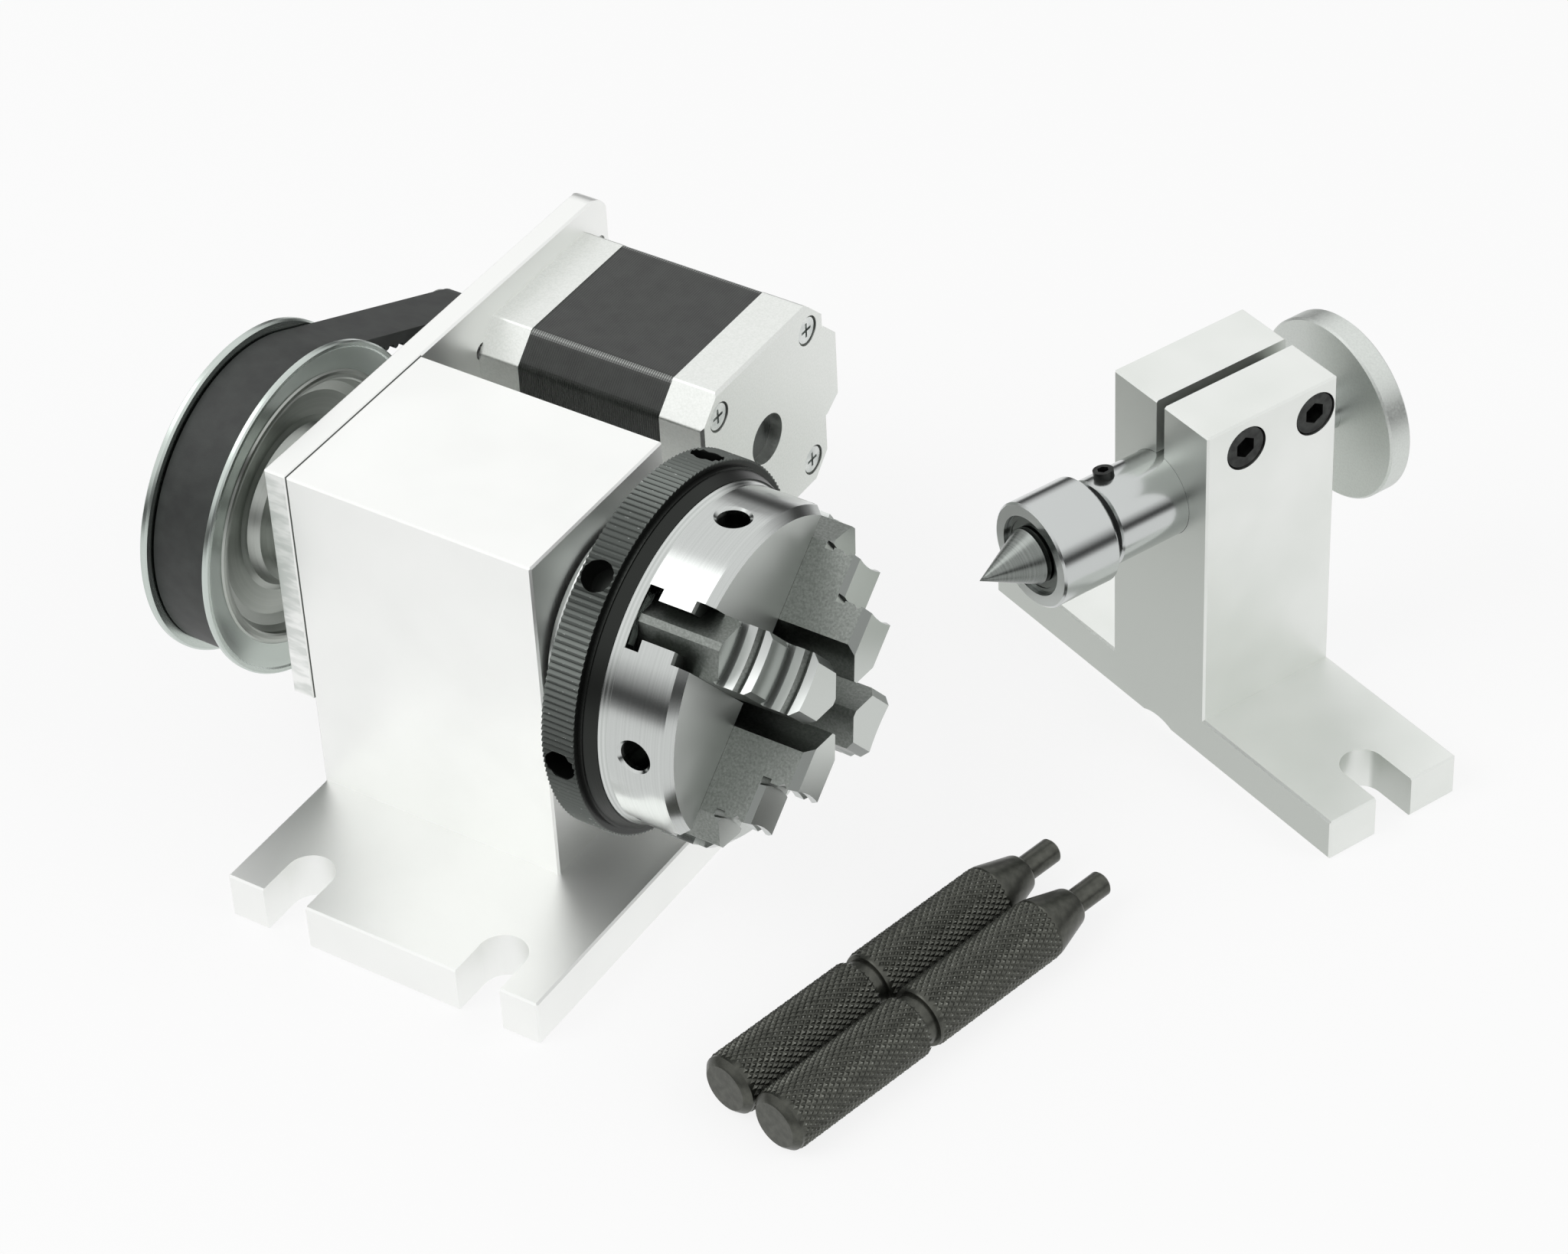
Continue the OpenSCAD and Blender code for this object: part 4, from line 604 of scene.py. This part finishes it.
def diamond_knurl():
    """A tree that sets blunt diamonds on a staggered lattice round the X axis, between two places."""
    made = bpy.data.node_groups.new("diamond_knurl", "GeometryNodeTree")
    face = made.interface
    face.new_socket("Bar", in_out="INPUT", socket_type="NodeSocketGeometry")
    for label in ("Grip Start", "Grip End", "Crest Radius", "Root Radius", "Length To Width"):
        face.new_socket(label, in_out="INPUT", socket_type="NodeSocketFloat")
    face.new_socket("Diamonds Round", in_out="INPUT", socket_type="NodeSocketInt")
    face.new_socket("Finish", in_out="INPUT", socket_type="NodeSocketMaterial")
    face.new_socket("Bar", in_out="OUTPUT", socket_type="NodeSocketGeometry")
    given = add(made, "NodeGroupInput").outputs
    around = given["Diamonds Round"]
    circle = add(made, "ShaderNodeMath", {0: given["Root Radius"], 1: math.pi}, operation="MULTIPLY")
    half = add(made, "ShaderNodeMath", {0: circle.outputs[0], 1: around}, operation="DIVIDE")
    span = add(made, "ShaderNodeMath", {0: given["Grip End"], 1: given["Grip Start"]}, operation="SUBTRACT")
    long = add(made, "ShaderNodeMath", {0: half.outputs[0], 1: given["Length To Width"]},
               operation="MULTIPLY")
    steps = add(made, "ShaderNodeMath", {0: span.outputs[0], 1: long.outputs[0]}, operation="DIVIDE")
    rows = add(made, "ShaderNodeMath", {0: steps.outputs[0]}, operation="FLOOR")
    total = add(made, "ShaderNodeMath", {0: rows.outputs[0], 1: around}, operation="MULTIPLY")
    index = add(made, "GeometryNodeInputIndex")
    share = add(made, "ShaderNodeMath", {0: index.outputs[0], 1: around}, operation="DIVIDE")
    row = add(made, "ShaderNodeMath", {0: share.outputs[0]}, operation="FLOOR")
    place = add(made, "ShaderNodeMath", {0: share.outputs[0]}, operation="FRACT")
    odd = add(made, "ShaderNodeMath", {0: row.outputs[0], 1: 2.0}, operation="MODULO")
    shift = add(made, "ShaderNodeMath", {0: odd.outputs[0], 1: 0.5}, operation="MULTIPLY")
    shifted = add(made, "ShaderNodeMath", {0: shift.outputs[0], 1: around}, operation="DIVIDE")
    whole = add(made, "ShaderNodeMath", {0: place.outputs[0], 1: shifted.outputs[0]}, operation="ADD")
    angle = add(made, "ShaderNodeMath", {0: whole.outputs[0], 1: 2 * math.pi}, operation="MULTIPLY")
    offset = add(made, "ShaderNodeMath", {0: row.outputs[0], 1: 1.0}, operation="ADD")
    along = add(made, "ShaderNodeMath", {0: offset.outputs[0], 1: long.outputs[0], 2: given["Grip Start"]},
                operation="MULTIPLY_ADD")
    sunk = add(made, "ShaderNodeMath", {0: given["Root Radius"], 1: KNURL_SINK}, operation="SUBTRACT")
    cosine = add(made, "ShaderNodeMath", {0: angle.outputs[0]}, operation="COSINE")
    sine = add(made, "ShaderNodeMath", {0: angle.outputs[0]}, operation="SINE")
    across = add(made, "ShaderNodeMath", {0: cosine.outputs[0], 1: sunk.outputs[0]}, operation="MULTIPLY")
    up = add(made, "ShaderNodeMath", {0: sine.outputs[0], 1: sunk.outputs[0]}, operation="MULTIPLY")
    at = add(made, "ShaderNodeCombineXYZ", {0: along.outputs[0], 1: across.outputs[0], 2: up.outputs[0]})
    points = add(made, "GeometryNodePoints", {"Count": total.outputs[0], "Position": at.outputs[0]})
    lean = add(made, "ShaderNodeMath", {0: angle.outputs[0], 1: math.pi / 2}, operation="SUBTRACT")
    turned_out = add(made, "ShaderNodeCombineXYZ", {0: lean.outputs[0]})
    height = add(made, "ShaderNodeMath", {0: given["Crest Radius"], 1: sunk.outputs[0]}, operation="SUBTRACT")
    size = add(made, "ShaderNodeCombineXYZ", {0: long.outputs[0], 1: half.outputs[0], 2: height.outputs[0]})
    diamond = add(made, "GeometryNodeMeshCone", {"Vertices": 4, "Radius Top": 0.16, "Radius Bottom": 1.0,
                                                 "Depth": 1.0}, fill_type="NGON")
    flat = add(made, "GeometryNodeSetShadeSmooth", {"Geometry": diamond.outputs["Mesh"],
                                                    "Shade Smooth": False})
    spread = add(made, "GeometryNodeInstanceOnPoints", {"Points": points.outputs[0],
                                                        "Instance": flat.outputs[0],
                                                        "Rotation": turned_out.outputs[0],
                                                        "Scale": size.outputs[0]})
    real = add(made, "GeometryNodeRealizeInstances", {"Geometry": spread.outputs[0]})
    joined = add(made, "GeometryNodeJoinGeometry")
    made.links.new(real.outputs[0], joined.inputs[0])
    made.links.new(given["Bar"], joined.inputs[0])
    finished = add(made, "GeometryNodeSetMaterial", {"Geometry": joined.outputs[0],
                                                     "Material": given["Finish"]})
    add(made, "NodeGroupOutput", {0: finished.outputs[0]})
    return made


def knurl_steel_wear_and_glints(name, origin):
    """Charcoal black oxide, lighter on the points of the knurl, partly as wear and partly as painted
    highlight.
    """
    made, tree, shader = new_material(name, 0.9, 0.34)
    where = placed(tree, origin, BAR_TURN)
    radius = around_axis(tree, where)[1]
    patches = add(tree, "ShaderNodeTexNoise", {"Vector": where, "Scale": 0.7, "Detail": 4.0})
    black = blend(tree, patches.outputs["Fac"], "#4c4d48", "#5b5c56", 0.35, 0.7)
    wear_and_glint = add(tree, "ShaderNodeMath", {0: patches.outputs["Fac"], 1: 0.25, 2: radius},
              operation="MULTIPLY_ADD")
    # Partly wear, partly painted highlight: the knurl's points are lighter.
    colour = blend(tree, wear_and_glint.outputs[0], black, "#8f918b", POINT_LIGHT_START_MM, POINT_LIGHT_FULL_MM)
    grain = add(tree, "ShaderNodeTexNoise", {"Vector": where, "Scale": 5.0, "Detail": 2.0})
    bump = add(tree, "ShaderNodeBump", {"Height": grain.outputs["Fac"], "Strength": 0.3,
                                        "Distance": 0.02 * MM})
    wire(shader, {"Base Color": colour, "Normal": bump.outputs[0]})
    return made


knurl = diamond_knurl()
for name, butt in BAR_BUTTS.items():
    bar_place = BAR_PLACE @ Matrix.Translation((butt[0], butt[1], 0))
    finish = knurl_steel_wear_and_glints(name + "_oxide", tuple(bar_place.translation))
    blank = bpy.data.objects.new(name + "_blank", revolved(name + "_blank", BAR_PROFILE, TURNING_STEPS))
    blank.data.materials.append(finish)
    bpy.context.scene.collection.objects.link(blank)
    for start, end in GRIPS:
        grip = blank.modifiers.new("grip", "NODES")
        grip.node_group = knurl
        given = {"Grip Start": start, "Grip End": end, "Crest Radius": BAR_R, "Root Radius": BAR_ROOT_R,
                 "Length To Width": 1.6, "Diamonds Round": 32, "Finish": finish}
        for socket in knurl.interface.items_tree:
            if socket.in_out == "INPUT" and socket.name in given:
                grip[socket.identifier] = given[socket.name]
    depsgraph = bpy.context.evaluated_depsgraph_get()
    shape = bpy.data.meshes.new_from_object(blank.evaluated_get(depsgraph), depsgraph=depsgraph)
    bpy.data.objects.remove(blank)
    shape.transform(bar_place)
    bar = bpy.data.objects.new("knurled_" + name, shape)
    bpy.context.scene.collection.objects.link(bar)
    dress(finish, name)
    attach(bar, name)
    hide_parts(name)

# Studio
#
# A sheet of white paper, a pale room and two soft lamps. Paper and room are white to the camera.
# In the metal the paper ends a short way off and the room is dim near the level, as in a studio.

CAMERA_AT = (0.43328, -0.55200, 0.62325)
RIGHT = Vector((0.84502, 0.53312, -0.04144))
DOWN = Vector((0.31367, -0.55697, -0.76902))
FORWARD = Vector((-0.43307, 0.63684, -0.63787))
FOCAL_PX = 6393.66
IMAGE_W = 2048
SENSOR_MM = 36.0

camera_data = bpy.data.cameras.new("photo_camera")
camera_data.sensor_width = SENSOR_MM
camera_data.lens = FOCAL_PX * SENSOR_MM / IMAGE_W
camera = bpy.data.objects.new("photo_camera", camera_data)
camera.matrix_world = Matrix.Translation(CAMERA_AT) @ Matrix((RIGHT, -DOWN, -FORWARD)).transposed().to_4x4()
bpy.context.scene.collection.objects.link(camera)
bpy.context.scene.camera = camera

FLOOR_HALF = 3.0
FLOOR_DROP = 0.0001
PAPER = [0.98, 0.98, 0.98, 1.0]
WHITE = [1.0, 1.0, 1.0, 1.0]
SHEET_NEAR, SHEET_FAR = 0.38, 0.8
SHEET_BRIGHT, SHEET_DIM = 1.02, 0.12
GLOW_SHARE = 0.83

floor_mesh = bpy.data.meshes.new("floor")
floor_mesh.from_pydata([(-FLOOR_HALF, -FLOOR_HALF, -FLOOR_DROP), (FLOOR_HALF, -FLOOR_HALF, -FLOOR_DROP),
                        (FLOOR_HALF, FLOOR_HALF, -FLOOR_DROP), (-FLOOR_HALF, FLOOR_HALF, -FLOOR_DROP)],
                       [], [(0, 1, 2, 3)])
floor = bpy.data.objects.new("floor", floor_mesh)
bpy.context.scene.collection.objects.link(floor)
paper = bpy.data.materials.new("white_paper")
paper.use_nodes = True
tree = paper.node_tree
tree.nodes.clear()
spot = add(tree, "ShaderNodeTexCoord")
reach = add(tree, "ShaderNodeVectorMath", {0: spot.outputs["Object"]}, operation="LENGTH")
sheet = add(tree, "ShaderNodeMapRange", {"Value": reach.outputs["Value"], "From Min": SHEET_NEAR,
                                         "From Max": SHEET_FAR, "To Min": SHEET_BRIGHT, "To Max": SHEET_DIM})
rays = add(tree, "ShaderNodeLightPath")
strength = add(tree, "ShaderNodeMix", {0: rays.outputs["Is Camera Ray"], 2: sheet.outputs[0], 3: 1.0})
matte = add(tree, "ShaderNodeBsdfDiffuse", {"Color": PAPER})
glow = add(tree, "ShaderNodeEmission", {"Color": WHITE, "Strength": strength.outputs[0]})
seen = add(tree, "ShaderNodeMath", {0: rays.outputs["Is Camera Ray"], 1: rays.outputs["Is Glossy Ray"]},
           operation="MAXIMUM")
share = add(tree, "ShaderNodeMath", {0: seen.outputs[0], 1: GLOW_SHARE}, operation="MULTIPLY")
both = add(tree, "ShaderNodeMixShader", {0: share.outputs[0], 1: matte.outputs[0], 2: glow.outputs[0]})
add(tree, "ShaderNodeOutputMaterial", {"Surface": both.outputs[0]})
floor.data.materials.append(paper)

WALL_LOW, WALL_HIGH = 0.1, 0.42
WALL_DIM, WALL_BRIGHT = 0.05, 1.05
SOFTBOX_WAY = (-0.433, -0.172, 0.885)
SOFTBOX_EDGE, SOFTBOX_CORE = 0.92, 0.985
SOFTBOX_GLOW = 1.5
ROOM_LIGHT = 0.55

world = bpy.data.worlds.new("studio")
bpy.context.scene.world = world
world.use_nodes = True
tree = world.node_tree
tree.nodes.clear()
sky = add(tree, "ShaderNodeTexCoord")
way = add(tree, "ShaderNodeSeparateXYZ", {0: sky.outputs["Generated"]})
walls = add(tree, "ShaderNodeMapRange", {"Value": way.outputs[2], "From Min": WALL_LOW, "From Max": WALL_HIGH,
                                         "To Min": WALL_DIM, "To Max": WALL_BRIGHT})
toward = add(tree, "ShaderNodeVectorMath", {0: sky.outputs["Generated"], 1: SOFTBOX_WAY},
             operation="DOT_PRODUCT")
softbox = add(tree, "ShaderNodeMapRange", {"Value": toward.outputs["Value"], "From Min": SOFTBOX_EDGE,
                                           "From Max": SOFTBOX_CORE, "To Min": 0.0, "To Max": SOFTBOX_GLOW})
room = add(tree, "ShaderNodeMath", {0: walls.outputs[0], 1: softbox.outputs[0]}, operation="ADD")
rays = add(tree, "ShaderNodeLightPath")
lit = add(tree, "ShaderNodeMix", {0: rays.outputs["Is Glossy Ray"], 2: ROOM_LIGHT, 3: room.outputs[0]})
shown = add(tree, "ShaderNodeMix", {0: rays.outputs["Is Camera Ray"], 2: lit.outputs[0], 3: 1.0})
backdrop = add(tree, "ShaderNodeBackground", {"Color": WHITE, "Strength": shown.outputs[0]})
add(tree, "ShaderNodeOutputWorld", {"Surface": backdrop.outputs[0]})

LAMP_AIM = Vector((0.03, 0.03, 0.03))


def soft_lamp(name, at, size, watts):
    """A square lamp that looks at the object. It lights matte surfaces, and metal doesn't show it."""
    lamp = bpy.data.lights.new(name, "AREA")
    lamp.shape = "SQUARE"
    lamp.size = size
    lamp.energy = watts
    made = bpy.data.objects.new(name, lamp)
    made.location = at
    made.rotation_euler = (LAMP_AIM - Vector(at)).to_track_quat("-Z", "Y").to_euler()
    made.visible_glossy = False
    bpy.context.scene.collection.objects.link(made)


soft_lamp("key_lamp", (-0.5, -0.9, 1.1), 1.0, 7.0)
soft_lamp("side_lamp", (1.3, 0.3, 0.9), 0.9, 4.0)

bpy.context.scene.view_settings.view_transform = "Standard"
